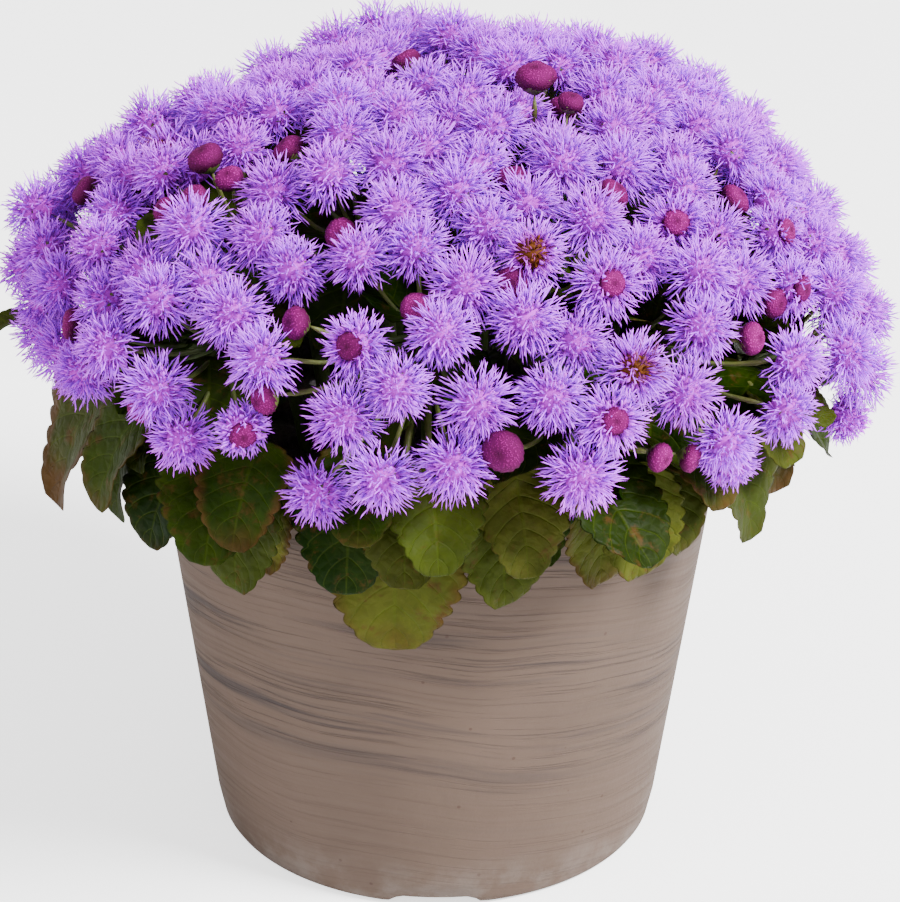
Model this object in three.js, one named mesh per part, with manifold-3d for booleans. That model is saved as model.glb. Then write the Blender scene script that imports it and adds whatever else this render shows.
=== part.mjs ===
// A potted ageratum: a tapered clay pot with a notched foot, potting soil, leafy stems that stand in the
// soil, and sprays of fluffy flower heads that close into one low dome.
// Units are millimetres, +Z is up, and the origin is the middle of the pot's foot, on the ground.
import * as THREE from "three";
import { mergeVertices } from "three/addons/utils/BufferGeometryUtils.js";
import Module from "manifold-3d";

const wasm = await Module();
wasm.setup();

// ---- driving dimensions -------------------------------------------------------------------------------
const GAP = 0.3; // clearance between two pieces that touch

const POT = {
  height: 98,
  rimRadius: 57,
  footRadius: 43.4,
  wall: 5.5,
  floor: 8,
  footRecess: 3, // how far the underside is hollowed inside the foot ring
  footRing: 8, // width of the ring that the pot stands on
  edge: 1.2, // rounding of the rim and of the foot
  drainRadius: 6.5,
  notches: 4,
  notchWidth: 17,
  notchHeight: 2.4,
  sides: 32,
};

const SOIL = { top: 88, crown: 2.5 };

const MOUND = {
  offset: 1.5, // the plant leans this far to +X of the pot's axis
  height: 112, // height of the widest level of the dome
  radius: 79, // to the middle of the heads, at the widest level
  rise: 41, // from the widest level to the topmost heads
  lowest: 97, // polar angle of the lowest heads, in degrees from straight up
  heart: 99, // height of the point that the sprays fan out from
};

// Swells and hollows of the dome: azimuth and polar angle, millimetres outward, spread in degrees.
const SWELLS = [
  { azimuth: 138, polar: 54, out: -8, spread: 22 },
  { azimuth: 170, polar: 70, out: 2.5, spread: 14 },
  { azimuth: 106, polar: 43, out: 6, spread: 15 },
  { azimuth: 78, polar: 40, out: -4, spread: 14 },
  { azimuth: 12, polar: 75, out: -6, spread: 22 },
  { azimuth: -160, polar: 90, out: -3, spread: 18 },
  { azimuth: -18, polar: 92, out: 2, spread: 14 },
];

const SPRAYS = 24;
const SPIRAL = { start: 0.9, stray: 0.25, inward: 0.97 }; // radians, radians, share of the polar angle
const SPRAY_REACH = 0.5; // radians from a spray's axis to its edge
const BLOOMS = 238; // heads and buds of the even cover, before the chosen ones take their places
const SHIFT = 1.6; // how far a bloom strays from its even place
const KNOT_DEPTH = 22; // from the dome's surface to the knot that a spray's stalks leave
const KNOT = { outer: 2.1, inner: 1.7, length: 3.6, sides: 5 };
const LEAST_FACING = 0.01; // a neighbour at a wider angle than this cosine doesn't shorten a spike
const HEAD = {
  radius: 6.9,
  vary: 0.6,
  valley: 4.9, // where the spikes meet
  levels: [[34, 3], [-24, 3]], // latitude and number of the valley points, under the crown point
  relief: 2.2, // how far heads stand out or back at random
  bulge: 4, // how far the middle of a spray stands out over its edge
};
const BUD = { radius: 3.3, share: 0.05, flat: 0.8 };
const STALK = { sides: 3, neck: 0.9, behind: 5.6, past: 1.3 };

const CROWD = { bud: 0.6, head: 0.72 }; // an even bloom nearer than this share of both radii gives way

// Blooms with a place of their own: azimuth and polar angle in degrees, millimetres outward, radius.
const CHOSEN = [
  { bud: true, azimuth: -40, polar: 14, out: 9, radius: 3.9 }, // stands clear above the crown
  { bud: true, azimuth: -34, polar: 19, out: 6, radius: 2.7 },
  { bud: true, azimuth: -152, polar: 38, out: 4.5, radius: 3.6 }, // a knot of buds on the left
  { bud: true, azimuth: -143, polar: 38, out: 3, radius: 2.9 },
  { bud: true, azimuth: -145, polar: 44, out: 3, radius: 2.9 },
  { bud: true, azimuth: -151, polar: 48, out: 1, radius: 2.6 },
  { bud: true, azimuth: -79, polar: 48, out: 0, radius: 3.3 },
  { bud: true, azimuth: -71, polar: 26, out: 0, radius: 3.3 },
  { bud: true, azimuth: -95, polar: 53, out: 0, radius: 3 },
  { bud: true, azimuth: -113, polar: 59, out: 0.5, radius: 3.2 },
  { bud: true, azimuth: -83, polar: 83, out: 3, radius: 4.4 }, // the largest, at the front
  { bud: true, azimuth: -115, polar: 76, out: -1, radius: 3.2 },
  { bud: true, azimuth: -135, polar: 89, out: -1, radius: 3.1 },
  { bud: true, azimuth: -61, polar: 92, out: -1, radius: 2.9 },
  { bud: true, azimuth: -56, polar: 95, out: -1, radius: 2.8 },
  { bud: true, azimuth: -35, polar: 66, out: 0, radius: 3 },
  { bud: true, azimuth: 121, polar: 12, out: 1, radius: 3.4 },
  { bud: false, azimuth: -107, polar: 99, out: -1, radius: 6.6 }, // the lowest heads of the front
  { bud: false, azimuth: -98, polar: 91, out: 0.5, radius: 6.9 },
  { bud: false, azimuth: -89, polar: 87, out: 0.5, radius: 7.3 },
  { bud: false, azimuth: -118, polar: 85, out: -2, radius: 5.2 },
  { bud: false, azimuth: -131, polar: 81, out: 0.5, radius: 7.2 },
  { bud: false, azimuth: -127, polar: 92, out: -1, radius: 6.6 },
  { bud: false, azimuth: -103, polar: 77, out: 1, radius: 7.2 },
  { bud: false, azimuth: -86, polar: 73, out: 1, radius: 7.3 },
  { bud: false, azimuth: -51, polar: 92, out: 0, radius: 6.6 },
  { bud: false, azimuth: -64, polar: 52, out: 2.5, radius: 7.4 },
  { bud: false, azimuth: -47, polar: 103, out: -2, radius: 5.6 },
  { bud: false, azimuth: -21, polar: 105, out: 3, radius: 5.2 }, // hangs low on the right
  { bud: false, azimuth: -179, polar: 84, out: 2, radius: 6 },
  { bud: false, azimuth: -173, polar: 74, out: 0.5, radius: 7 },
  { bud: false, azimuth: 47, polar: 12, out: 0.5, radius: 7.3 },
];

const STEM = {
  radius: 1.7,
  sides: 4,
  steps: 4,
  depth: 12, // how deep it stands in the soil
  hole: 2.3, // radius of its hole
  spread: 0.66, // its foot's distance from the middle, as a share of its top's
  knee: [0.35, 0.7], // how far out and up it bends, as shares from the soil to its top
  straight: 4, // its last stretch, square to the knot
  leafy: [0.55, 0.94], // the stretch that carries leaves, as shares of its length
  search: 0.06, // how far apart, as shares of its length, the places for a leaf lie
  least: 0.35, // least cosine between a leaf's stalk and the start of its blade
};
const LEAF = {
  thickness: 0.7,
  petiole: 0.75, // half the width of the stalk
  fold: 0.2, // how far both halves rise from the rib, in radians
  wave: 0.8, // height of the waves of its edge
  waves: 9, // radians that a wave goes through from collar to tip
  unlike: 2, // radians that the two edges' waves differ each way
  phases: 6, // radians that the waves of all leaves start within
  belly: 0.7, // below 1 the widest place lies nearer to the stalk
  blunt: 0.8, // below 1 the blade is rounder
  breadth: 0.88, // width as a share of length
  shared: 6, // volume that the stalks of two leaves may share inside their stem
};
const LEAF_RIB = [0, 0.42, 1]; // where the rib bends, as shares of the blade
const LEAF_EDGE = [[0.2, 1], [0.36, 0.8], [0.52, 1], [0.7, 0.78]]; // teeth and notches: share, width

// Leaves with a place of their own. The blade starts at an azimuth, a radius and a height, heads to its
// right by turn and upward by rise, in degrees, and bends down by droop, in radians.
const CHOSEN_LEAVES = [
  { azimuth: 176, radius: 72, height: 102, turn: 0, rise: 8, length: 15, droop: 0.5 }, // far left
  { azimuth: -167, radius: 62, height: 104, turn: 6, rise: -52, length: 33, droop: 0.5 },
  { azimuth: -153, radius: 63, height: 106, turn: -10, rise: -48, length: 25, droop: 0.5 },
  { azimuth: -140, radius: 60, height: 101, turn: 0, rise: -55, length: 24, droop: 0.4 },
  { azimuth: -129, radius: 60, height: 104, turn: 26, rise: -28, length: 26, droop: 0.6 },
  { azimuth: -121, radius: 60, height: 98.5, turn: -4, rise: -76, length: 20, droop: 0.3 },
  { azimuth: -111, radius: 59, height: 103, turn: 8, rise: -55, length: 24, droop: 0.5 },
  { azimuth: -97, radius: 60, height: 99, turn: 0, rise: -80, length: 32, droop: 0.25 }, // hangs lowest
  { azimuth: -102, radius: 61, height: 103, turn: 10, rise: -46, length: 21, droop: 0.6 },
  { azimuth: -86, radius: 60, height: 99, turn: 16, rise: -70, length: 22, droop: 0.3 },
  { azimuth: -77, radius: 60, height: 104, turn: 6, rise: -50, length: 21, droop: 0.5 },
  { azimuth: -68, radius: 60, height: 105, turn: 24, rise: -20, length: 27, droop: 0.5 },
  { azimuth: -61, radius: 60, height: 99, turn: 4, rise: -78, length: 22, droop: 0.3 },
  { azimuth: -50, radius: 60, height: 102, turn: 6, rise: -55, length: 21, droop: 0.4 },
  { azimuth: -41, radius: 62, height: 104, turn: 2, rise: -58, length: 26, droop: 0.4 },
  { azimuth: -38, radius: 68, height: 108, turn: 0, rise: 8, length: 17, droop: 0.5 },
  { azimuth: -12, radius: 62, height: 104, turn: 4, rise: -40, length: 24, droop: 0.5 }, // right
  { azimuth: -4, radius: 61, height: 100, turn: -6, rise: -60, length: 23, droop: 0.4 },
];

// Rings of leaves that fill up round the rim and inside the dome.
const RINGS = [
  { count: 8, azimuth: 20, radius: 60, height: 100, rise: -62, length: 25, droop: 0.6 },
  { count: 10, azimuth: 7, radius: 58, height: 103, rise: -34, length: 24, droop: 0.9 },
  { count: 9, azimuth: 18, radius: 57, height: 106, rise: -14, length: 23, droop: 0.9 },
  { count: 5, azimuth: 3, radius: 30, height: 108, rise: 10, length: 20, droop: 0.7 },
];
// Where a leaf is tried until it has room: degrees to either side, and then with these changes.
const SIDEWAYS = [0, 6, -6, 12, -12];
const CHANGES = [
  { out: 0, up: 0, rise: 0, size: 1 },
  { out: 2, up: 1.5, rise: 6, size: 0.92 },
  { out: 0, up: -1.5, rise: -8, size: 0.85 },
  { out: 4, up: 3, rise: 4, size: 0.85 },
  { out: 1, up: 1, rise: 14, size: 0.75 },
];

// How much the leaves of a ring differ: degrees, millimetres, and shares of the ring's own values.
const STRAY = { azimuth: 5, height: 1.2, turn: 14, rise: 7, length: 0.14, droop: 0.2 };

const LOOKS = {
  clay: { color: 0x9a8779, roughness: 0.8 },
  soil: { color: 0x2e2118, roughness: 1 },
  petals: { color: 0x9a74d6, roughness: 0.9 },
  leaves: { color: 0x3f6322, roughness: 0.7 },
};

const SAME_POINT = 1e-4; // corners nearer than this are one corner
const AREA_STEPS = 60; // slices that the dome's area is summed over
const HALVINGS = 40; // rounds of the search for a polar angle
const EVEN_RATIO = 3 - Math.sqrt(5); // half a turn times this is the golden angle

// ---- small tools --------------------------------------------------------------------------------------
const UP = new THREE.Vector3(0, 0, 1);
const rad = THREE.MathUtils.degToRad;
const vec = (x, y, z) => new THREE.Vector3(x, y, z);

// A repeatable number from 0 to 1 for item i and purpose k.
function draw(i, k) {
  const s = Math.sin(i * 12.9898 + k * 78.233) * 43758.5453;
  return s - Math.floor(s);
}

// The same, from -1 to 1.
const swing = (i, k) => 2 * draw(i, k) - 1;

// A closed geometry as a manifold-3d solid.
function solidOf(geometry) {
  const g = geometry.clone();
  g.deleteAttribute("normal");
  g.deleteAttribute("uv");
  const merged = mergeVertices(g, SAME_POINT);
  return new wasm.Manifold(
    new wasm.Mesh({
      numProp: 3,
      vertProperties: merged.attributes.position.array,
      triVerts: new Uint32Array(merged.index.array),
    }),
  );
}

// A manifold-3d solid as a geometry.
function geometryOf(solid) {
  const made = solid.getMesh();
  const points = new Float32Array(made.numVert * 3);
  for (let i = 0; i < made.numVert; i++) {
    points.set(made.vertProperties.subarray(i * made.numProp, i * made.numProp + 3), i * 3);
  }
  const geometry = new THREE.BufferGeometry();
  geometry.setAttribute("position", new THREE.BufferAttribute(points, 3));
  geometry.setIndex(new THREE.BufferAttribute(new Uint32Array(made.triVerts), 1));
  geometry.computeVertexNormals();
  return geometry;
}

// A solid from points and triangles.
function facets(points, triangles) {
  const geometry = new THREE.BufferGeometry();
  const numbers = points.flatMap((p) => p.toArray());
  geometry.setAttribute("position", new THREE.Float32BufferAttribute(numbers, 3));
  geometry.setIndex(triangles.flat());
  return solidOf(geometry);
}

// A profile of [radius, height] pairs turned about the Z axis.
function turned(profile, sides) {
  const points = profile.map(([r, z]) => new THREE.Vector2(r, z));
  return solidOf(new THREE.LatheGeometry(points, sides).rotateX(Math.PI / 2));
}

// A round bar along a smooth curve.
function bar(curve, radius, sides, steps) {
  const corners = Array.from({ length: sides }, (_, i) => {
    const a = (2 * Math.PI * i) / sides;
    return new THREE.Vector2(radius * Math.cos(a), radius * Math.sin(a));
  });
  const options = { steps, bevelEnabled: false, extrudePath: curve };
  return solidOf(new THREE.ExtrudeGeometry(new THREE.Shape(corners), options));
}

function mesh(name, solid, look) {
  const material = new THREE.MeshStandardMaterial({ ...look, metalness: 0 });
  const made = new THREE.Mesh(geometryOf(solid), material);
  made.name = name;
  return made;
}

// ---- pot and soil -------------------------------------------------------------------------------------
const potRadius = (z) => POT.footRadius + ((POT.rimRadius - POT.footRadius) * z) / POT.height;

function potSolid() {
  const e = POT.edge;
  const footInner = POT.footRadius - POT.footRing;
  const profile = [
    [POT.footRadius - e, 0],
    [potRadius(e), e],
    [potRadius(POT.height - e), POT.height - e],
    [POT.rimRadius - e, POT.height],
    [POT.rimRadius - POT.wall + e, POT.height],
    [potRadius(POT.height - e) - POT.wall, POT.height - e],
    [potRadius(POT.floor) - POT.wall, POT.floor],
    [POT.drainRadius, POT.floor],
    [POT.drainRadius, POT.footRecess],
    [footInner, POT.footRecess],
    [footInner, 0],
    [POT.footRadius - e, 0],
  ];
  const notch = new THREE.Shape([
    new THREE.Vector2(-POT.notchWidth / 2 - POT.notchHeight, -1),
    new THREE.Vector2(POT.notchWidth / 2 + POT.notchHeight, -1),
    new THREE.Vector2(POT.notchWidth / 2, POT.notchHeight),
    new THREE.Vector2(-POT.notchWidth / 2, POT.notchHeight),
  ]);
  let pot = turned(profile, POT.sides);
  for (let i = 0; i < POT.notches; i++) {
    const cut = new THREE.ExtrudeGeometry(notch, { depth: 2 * POT.footRing, bevelEnabled: false })
      .rotateX(Math.PI / 2)
      .translate(0, 1.5 * POT.footRing - POT.footRadius, 0)
      .rotateZ((2 * Math.PI * i) / POT.notches);
    pot = pot.subtract(solidOf(cut));
  }
  return pot;
}

// Outer radius of the soil at a height, clear of the wall.
const soilRadius = (z) => potRadius(z) - POT.wall - GAP / Math.cos(Math.PI / POT.sides);

// Height of the soil, which rises a little to the middle, at a distance from the axis.
const soilHeight = (distance) => SOIL.top + SOIL.crown * (1 - distance / soilRadius(SOIL.top));

function soilSolid(feet) {
  const bottom = POT.floor + GAP;
  const edge = soilRadius(SOIL.top);
  const profile = [[0, bottom], [soilRadius(bottom), bottom], [edge, soilHeight(edge)], [0, soilHeight(0)]];
  const hole = new THREE.CylinderGeometry(STEM.hole, STEM.hole, 2 * STEM.depth, STEM.sides);
  hole.rotateX(Math.PI / 2);
  return feet.reduce((soil, foot) => {
    const place = hole.clone().translate(foot.x, foot.y, foot.z - GAP);
    return soil.subtract(solidOf(place));
  }, turned(profile, POT.sides));
}

// ---- where the flowers sit ----------------------------------------------------------------------------
// Area of the dome above the polar angle t, up to a factor.
function domeArea(t) {
  let sum = 0;
  for (let k = 0; k < AREA_STEPS; k++) {
    const m = (t * (k + 0.5)) / AREA_STEPS;
    sum += Math.sin(m) * Math.hypot(MOUND.radius * Math.cos(m), MOUND.rise * Math.sin(m));
  }
  return (sum * t) / AREA_STEPS;
}

// The polar angle above which a share of the dome's area lies, by halving.
function polarAt(share) {
  const wanted = share * domeArea(rad(MOUND.lowest));
  let low = 0;
  let high = rad(MOUND.lowest);
  for (let k = 0; k < HALVINGS; k++) {
    const middle = (low + high) / 2;
    if (domeArea(middle) < wanted) low = middle;
    else high = middle;
  }
  return (low + high) / 2;
}

// A direction as a unit vector on the round sphere that the dome is flattened from.
const ball = (polar, azimuth) =>
  vec(Math.sin(polar) * Math.cos(azimuth), Math.sin(polar) * Math.sin(azimuth), Math.cos(polar));

// A point out millimetres outside the dome, with its swells and hollows.
function onDome(polar, azimuth, out) {
  const unit = ball(polar, azimuth);
  const swell = SWELLS.reduce((sum, s) => {
    const angle = unit.angleTo(ball(rad(s.polar), rad(s.azimuth))) / rad(s.spread);
    return sum + s.out * Math.exp(-angle * angle);
  }, out);
  const size = vec(MOUND.radius, MOUND.radius, MOUND.rise);
  const normal = unit.clone().divide(size).normalize();
  return unit
    .multiply(size)
    .addScaledVector(normal, swell)
    .add(vec(MOUND.offset, 0, MOUND.height));
}

const heart = vec(MOUND.offset, 0, MOUND.heart);
const GOLDEN = Math.PI * EVEN_RATIO;

// Spray axes: a spiral of equal shares of the dome's area.
const sprays = Array.from({ length: SPRAYS }, (_, k) => {
  const polar = polarAt((k + 0.5) / SPRAYS) * SPIRAL.inward;
  const surface = onDome(polar, k * GOLDEN + SPIRAL.start + SPIRAL.stray * swing(k, 1), 0);
  const axis = surface.clone().sub(heart).normalize();
  return { axis, knot: surface.addScaledVector(axis, -KNOT_DEPTH), blooms: [] };
});

// The spray whose axis is nearest to a point, and how near it is to that axis, from 1 on it to 0.
function sprayOf(point) {
  const toward = point.clone().sub(heart).normalize();
  const near = sprays.map((s) => s.axis.dot(toward));
  const index = near.indexOf(Math.max(...near));
  return { index, centred: Math.max(0, 1 - Math.acos(Math.min(1, near[index])) / SPRAY_REACH) };
}

const chosen = CHOSEN.map((c, i) => {
  const centre = onDome(rad(c.polar), rad(c.azimuth), c.out);
  return { centre, radius: c.radius, bud: c.bud, spin: 2 * Math.PI * draw(i, 8) };
});

// The even cover: the same spiral with many more points, each moved a little.
const cover = Array.from({ length: BLOOMS }, (_, i) => {
  const even = polarAt((i + 0.5) / BLOOMS);
  const reach = Math.hypot(MOUND.radius * Math.cos(even), MOUND.rise * Math.sin(even));
  const polar = Math.abs(even + (SHIFT * swing(i, 2)) / reach);
  const azimuth = i * GOLDEN + (SHIFT * swing(i, 3)) / (MOUND.radius * Math.sin(even));
  const bud = draw(i, 4) < BUD.share;
  const { centred } = sprayOf(onDome(polar, azimuth, 0));
  const out = HEAD.bulge * (centred - 0.5) + HEAD.relief * swing(i, 5);
  const radius = bud ? BUD.radius : HEAD.radius + HEAD.vary * swing(i, 6);
  return { centre: onDome(polar, azimuth, out), radius, bud, spin: 2 * Math.PI * draw(i, 7) };
});

function taken(bloom) {
  return chosen.some((c) => {
    const crowd = c.bud ? CROWD.bud : CROWD.head;
    return c.centre.distanceTo(bloom.centre) < crowd * (c.radius + bloom.radius);
  });
}
const blooms = [...chosen, ...cover.filter((bloom) => !taken(bloom))];
for (const bloom of blooms) sprays[sprayOf(bloom.centre).index].blooms.push(bloom);

// How far a bloom may reach along a direction before it meets the plane that it shares with a neighbour.
function reach(bloom, direction, wanted) {
  let length = wanted;
  for (const other of blooms) {
    const between = other.centre.clone().sub(bloom.centre);
    const distance = between.length();
    const facing = distance > 0 ? direction.dot(between) / distance : 0;
    if (facing < LEAST_FACING) continue;
    const plane = (distance * bloom.radius) / (bloom.radius + other.radius) - GAP / 2;
    length = Math.min(length, plane / facing);
  }
  return length;
}

// ---- blooms -------------------------------------------------------------------------------------------
// Calls face for each triangle between two rings of points, where each ring runs counter-clockwise and the
// upper one lies outward of the lower one. A ring of one point is a tip.
function zip(upper, lower, face) {
  const goUpper = upper.length > 1 ? upper.length : 0;
  const goLower = lower.length > 1 ? lower.length : 0;
  let i = 0;
  let j = 0;
  while (i < goUpper || j < goLower) {
    const a = upper[i % upper.length];
    const b = lower[j % lower.length];
    const lowerNext = i >= goUpper || (j < goLower && (i + 1) * goLower > (j + 1) * goUpper);
    if (lowerNext) face(a, b, lower[++j % lower.length]);
    else face(a, b, upper[++i % upper.length]);
  }
}

// A head is a small ball whose outer faces are each drawn out into a spike, over a cup that narrows to a
// stalk, which thins toward the knot. A bud is the same without spikes.
function bloomSolid(bloom, knot) {
  const axis = bloom.centre.clone().sub(knot);
  const stalk = axis.length();
  axis.normalize();
  const side = vec(1, 0, 0).addScaledVector(axis, -axis.x).normalize();
  const across = axis.clone().cross(side);
  const round = (turn) =>
    side.clone().multiplyScalar(Math.cos(turn)).addScaledVector(across, Math.sin(turn));
  const out = (direction, wanted) =>
    bloom.centre.clone().addScaledVector(direction, reach(bloom, direction, wanted));

  const points = [];
  const triangles = [];
  const add = (point) => points.push(point) - 1;
  const turns = (count) => Array.from({ length: count }, (_, k) => bloom.spin + (2 * Math.PI * k) / count);
  const core = bloom.bud ? bloom.radius : HEAD.valley;
  const level = (latitude, count) =>
    turns(count).map((turn) => {
      const sideways = round(turn).multiplyScalar(Math.cos(rad(latitude)));
      return add(out(sideways.addScaledVector(axis, Math.sin(rad(latitude))), core));
    });
  const crown = [add(out(axis, bloom.bud ? BUD.flat * core : core))];
  const [shoulder, belt] = HEAD.levels.map(([latitude, count]) => level(latitude, count));
  const cupEnd = bloom.centre.clone().addScaledVector(axis, -STALK.behind);
  const neck = turns(STALK.sides).map((turn) => add(cupEnd.clone().addScaledVector(round(turn), STALK.neck)));
  const end = [add(bloom.centre.clone().addScaledVector(axis, -stalk - STALK.past))];

  const plain = (a, b, c) => triangles.push([a, b, c]);
  const spike = (a, b, c) => {
    const middle = points[a].clone().add(points[b]).add(points[c]).divideScalar(3);
    const tip = add(out(middle.sub(bloom.centre).normalize(), bloom.radius));
    triangles.push([a, b, tip], [b, c, tip], [c, a, tip]);
  };
  zip(crown, shoulder, bloom.bud ? plain : spike);
  zip(shoulder, belt, bloom.bud ? plain : spike);
  zip(belt, neck, plain);
  zip(neck, end, plain);
  return facets(points, triangles);
}

// A spray: its blooms on their stalks, fused to a small knot whose flat end sits on a stem.
function spraySolid(spray) {
  const knot = new THREE.CylinderGeometry(KNOT.outer, KNOT.inner, KNOT.length, KNOT.sides)
    .applyQuaternion(new THREE.Quaternion().setFromUnitVectors(vec(0, 1, 0), spray.axis))
    .translate(...spray.knot.toArray());
  return spray.blooms.reduce((whole, bloom) => whole.add(bloomSolid(bloom, spray.knot)), solidOf(knot));
}

// ---- stems --------------------------------------------------------------------------------------------
// Each spray has a stem of its own that stands in the soil and bends out to the spray's knot.
const curves = sprays.map((spray) => {
  const end = spray.knot.clone().addScaledVector(spray.axis, -KNOT.length / 2 - GAP);
  const foot = end.clone().multiplyScalar(STEM.spread);
  foot.z = soilHeight(Math.hypot(foot.x, foot.y));
  const below = foot.clone().setZ(foot.z - STEM.depth);
  const knee = foot.clone().lerp(end, STEM.knee[0]);
  knee.z = foot.z + STEM.knee[1] * (end.z - foot.z);
  const straight = end.clone().addScaledVector(spray.axis, -STEM.straight);
  return new THREE.CatmullRomCurve3([below, foot, knee, straight, end]);
});

// ---- leaves -------------------------------------------------------------------------------------------
// A toothed ovate blade on a short stalk that starts inside a stem, at root, and meets the blade at collar.
// along is the way the blade sets off. It bends down along its rib by droop radians, and both halves rise
// from the rib by the fold. spare thickens and widens the whole, to test for room around it.
function leafSolid(leaf, spare = 0) {
  const { root, collar, along, length, width, droop } = leaf;
  const side = along.clone().cross(UP).normalize();
  const up = side.clone().cross(along).normalize();
  const turnedBy = (angle) =>
    up.clone().multiplyScalar(Math.cos(angle)).addScaledVector(along, Math.sin(angle));
  const ribAt = (s) =>
    collar
      .clone()
      .addScaledVector(along, (length * Math.sin(droop * s)) / droop)
      .addScaledVector(up, (-length * (1 - Math.cos(droop * s))) / droop);
  const half = (s) => (width / 2) * Math.sin(Math.PI * s ** LEAF.belly) ** LEAF.blunt + spare;

  const top = [];
  const under = [];
  const put = (point, s, across, lift) => {
    const normal = turnedBy(droop * s);
    const middle = point
      .clone()
      .addScaledVector(side, across * Math.cos(LEAF.fold))
      .addScaledVector(normal, Math.abs(across) * Math.sin(LEAF.fold) + lift);
    const thick = LEAF.thickness / 2 + spare;
    top.push(middle.clone().addScaledVector(normal, thick));
    under.push(middle.addScaledVector(normal, -thick));
    return top.length - 1;
  };
  const narrow = LEAF.petiole + spare;
  const roots = [-1, 1].map((hand) => put(root, 0, hand * narrow, 0));
  const rib = LEAF_RIB.map((s) => put(ribAt(s), s, 0, 0));
  const rims = [-1, 1].map((hand) => {
    const edge = LEAF_EDGE.map(([s, share]) => {
      const lift = LEAF.wave * Math.sin(leaf.phase + LEAF.waves * s + LEAF.unlike * hand);
      return put(ribAt(s), s, hand * half(s) * share, lift);
    });
    return [put(collar, 0, hand * narrow, 0), ...edge, rib[rib.length - 1]];
  });

  // the upper face: the stalk, then triangles between the rib and each rim, from the collar to the tip
  const upper = [
    [rib[0], roots[0], roots[1]],
    [rib[0], rims[0][0], roots[0]],
    [rib[0], roots[1], rims[1][0]],
  ];
  const shares = [0, ...LEAF_EDGE.map(([s]) => s), 1];
  rims.forEach((rim, hand) => {
    let a = 0;
    let b = 0;
    while (b < rim.length - 1) {
      const ribFirst = a < rib.length - 2 && LEAF_RIB[a + 1] < shares[b + 1];
      const third = ribFirst ? rib[a + 1] : rim[b + 1];
      upper.push(hand ? [rib[a], rim[b], third] : [rim[b], rib[a], third]);
      if (ribFirst) a++;
      else b++;
    }
  });
  const n = top.length;
  const loop = [...roots, ...rims[1], ...rims[0].slice(0, -1).reverse()];
  const walls = loop.flatMap((a, k) => {
    const b = loop[(k + 1) % loop.length];
    return [
      [a, a + n, b],
      [b, a + n, b + n],
    ];
  });
  const lower = upper.map(([a, b, c]) => [a + n, c + n, b + n]);
  return facets([...top, ...under], [...upper, ...lower, ...walls]);
}

// The point of a stem that lies nearest to a place, on the upper part that carries leaves and behind the
// place along the way that the blade sets off.
function nearestStem(place, along) {
  let best = { distance: Infinity };
  curves.forEach((curve, k) => {
    const joints = curve.getSpacedPoints(STEM.steps);
    for (let share = STEM.leafy[0]; share < STEM.leafy[1]; share += STEM.search) {
      const lower = Math.floor(share * STEM.steps);
      const point = joints[lower].clone().lerp(joints[lower + 1], share * STEM.steps - lower);
      const stalk = place.clone().sub(point);
      const distance = stalk.length();
      const behind = stalk.dot(along) > STEM.least * distance;
      if (behind && distance < best.distance) best = { k, point, distance };
    }
  });
  return best;
}

// A leaf from its place, with one of the sideways moves and one of the changes.
function leafAt(place, move, change, seed) {
  const azimuth = rad(place.azimuth + move);
  const heading = azimuth + rad(place.turn);
  const rise = rad(place.rise + change.rise);
  const length = place.length * change.size;
  const radius = place.radius + change.out;
  const collar = vec(radius * Math.cos(azimuth), radius * Math.sin(azimuth), place.height + change.up);
  const along = vec(Math.cos(rise) * Math.cos(heading), Math.cos(rise) * Math.sin(heading), Math.sin(rise));
  const { k, point } = nearestStem(collar, along);
  const width = LEAF.breadth * length;
  const phase = LEAF.phases * draw(seed, 17);
  return { k, root: point, collar, along, length, width, droop: place.droop, phase };
}

const ringLeaves = RINGS.flatMap((ring, r) =>
  Array.from({ length: ring.count }, (_, i) => {
    const seed = 40 * r + i;
    return {
      azimuth: ring.azimuth + (360 * i) / ring.count + STRAY.azimuth * swing(seed, 11),
      radius: ring.radius,
      height: ring.height + STRAY.height * swing(seed, 12),
      turn: STRAY.turn * swing(seed, 13),
      rise: ring.rise + STRAY.rise * swing(seed, 14),
      length: ring.length * (1 + STRAY.length * swing(seed, 15)),
      droop: ring.droop * (1 + STRAY.droop * swing(seed, 16)),
    };
  }),
);

// ---- the whole plant ----------------------------------------------------------------------------------
const pot = potSolid();
const soil = soilSolid(curves.map((curve) => curve.points[1]));
const flowers = sprays.map(spraySolid);
const stems = curves.map((curve) => bar(curve, STEM.radius, STEM.sides, STEM.steps));
const blades = [];

// Whether a leaf is clear of everything but its own stem. Leaves of one stem may share the start of a stalk.
function hasRoom(leaf) {
  const wide = leafSolid(leaf, GAP);
  const others = [pot, soil, ...flowers, ...stems.filter((_, k) => k !== leaf.k)];
  const kin = blades.filter((blade) => blade.k === leaf.k);
  return (
    others.every((other) => wide.intersect(other).isEmpty()) &&
    kin.every((blade) => wide.intersect(blade.solid).volume() < LEAF.shared)
  );
}

[...CHOSEN_LEAVES, ...ringLeaves].forEach((place, seed) => {
  const tries = CHANGES.flatMap((change) => SIDEWAYS.map((move) => leafAt(place, move, change, seed)));
  const leaf = tries.find(hasRoom);
  if (!leaf) return;
  const solid = leafSolid(leaf);
  blades.push({ k: leaf.k, solid });
  stems[leaf.k] = stems[leaf.k].add(solid);
});

const label = (k) => String(k + 1).padStart(2, "0");
const part = new THREE.Group();
part.add(mesh("pot", pot, LOOKS.clay));
part.add(mesh("soil", soil, LOOKS.soil));
flowers.forEach((solid, k) => part.add(mesh(`spray_${label(k)}`, solid, LOOKS.petals)));
stems.forEach((solid, k) => part.add(mesh(`stem_${label(k)}`, solid, LOOKS.leaves)));

export default part;
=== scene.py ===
import math

import bpy
import numpy as np
from bpy.props import FloatProperty, FloatVectorProperty, IntProperty, PointerProperty
from mathutils import Matrix, Vector


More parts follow.
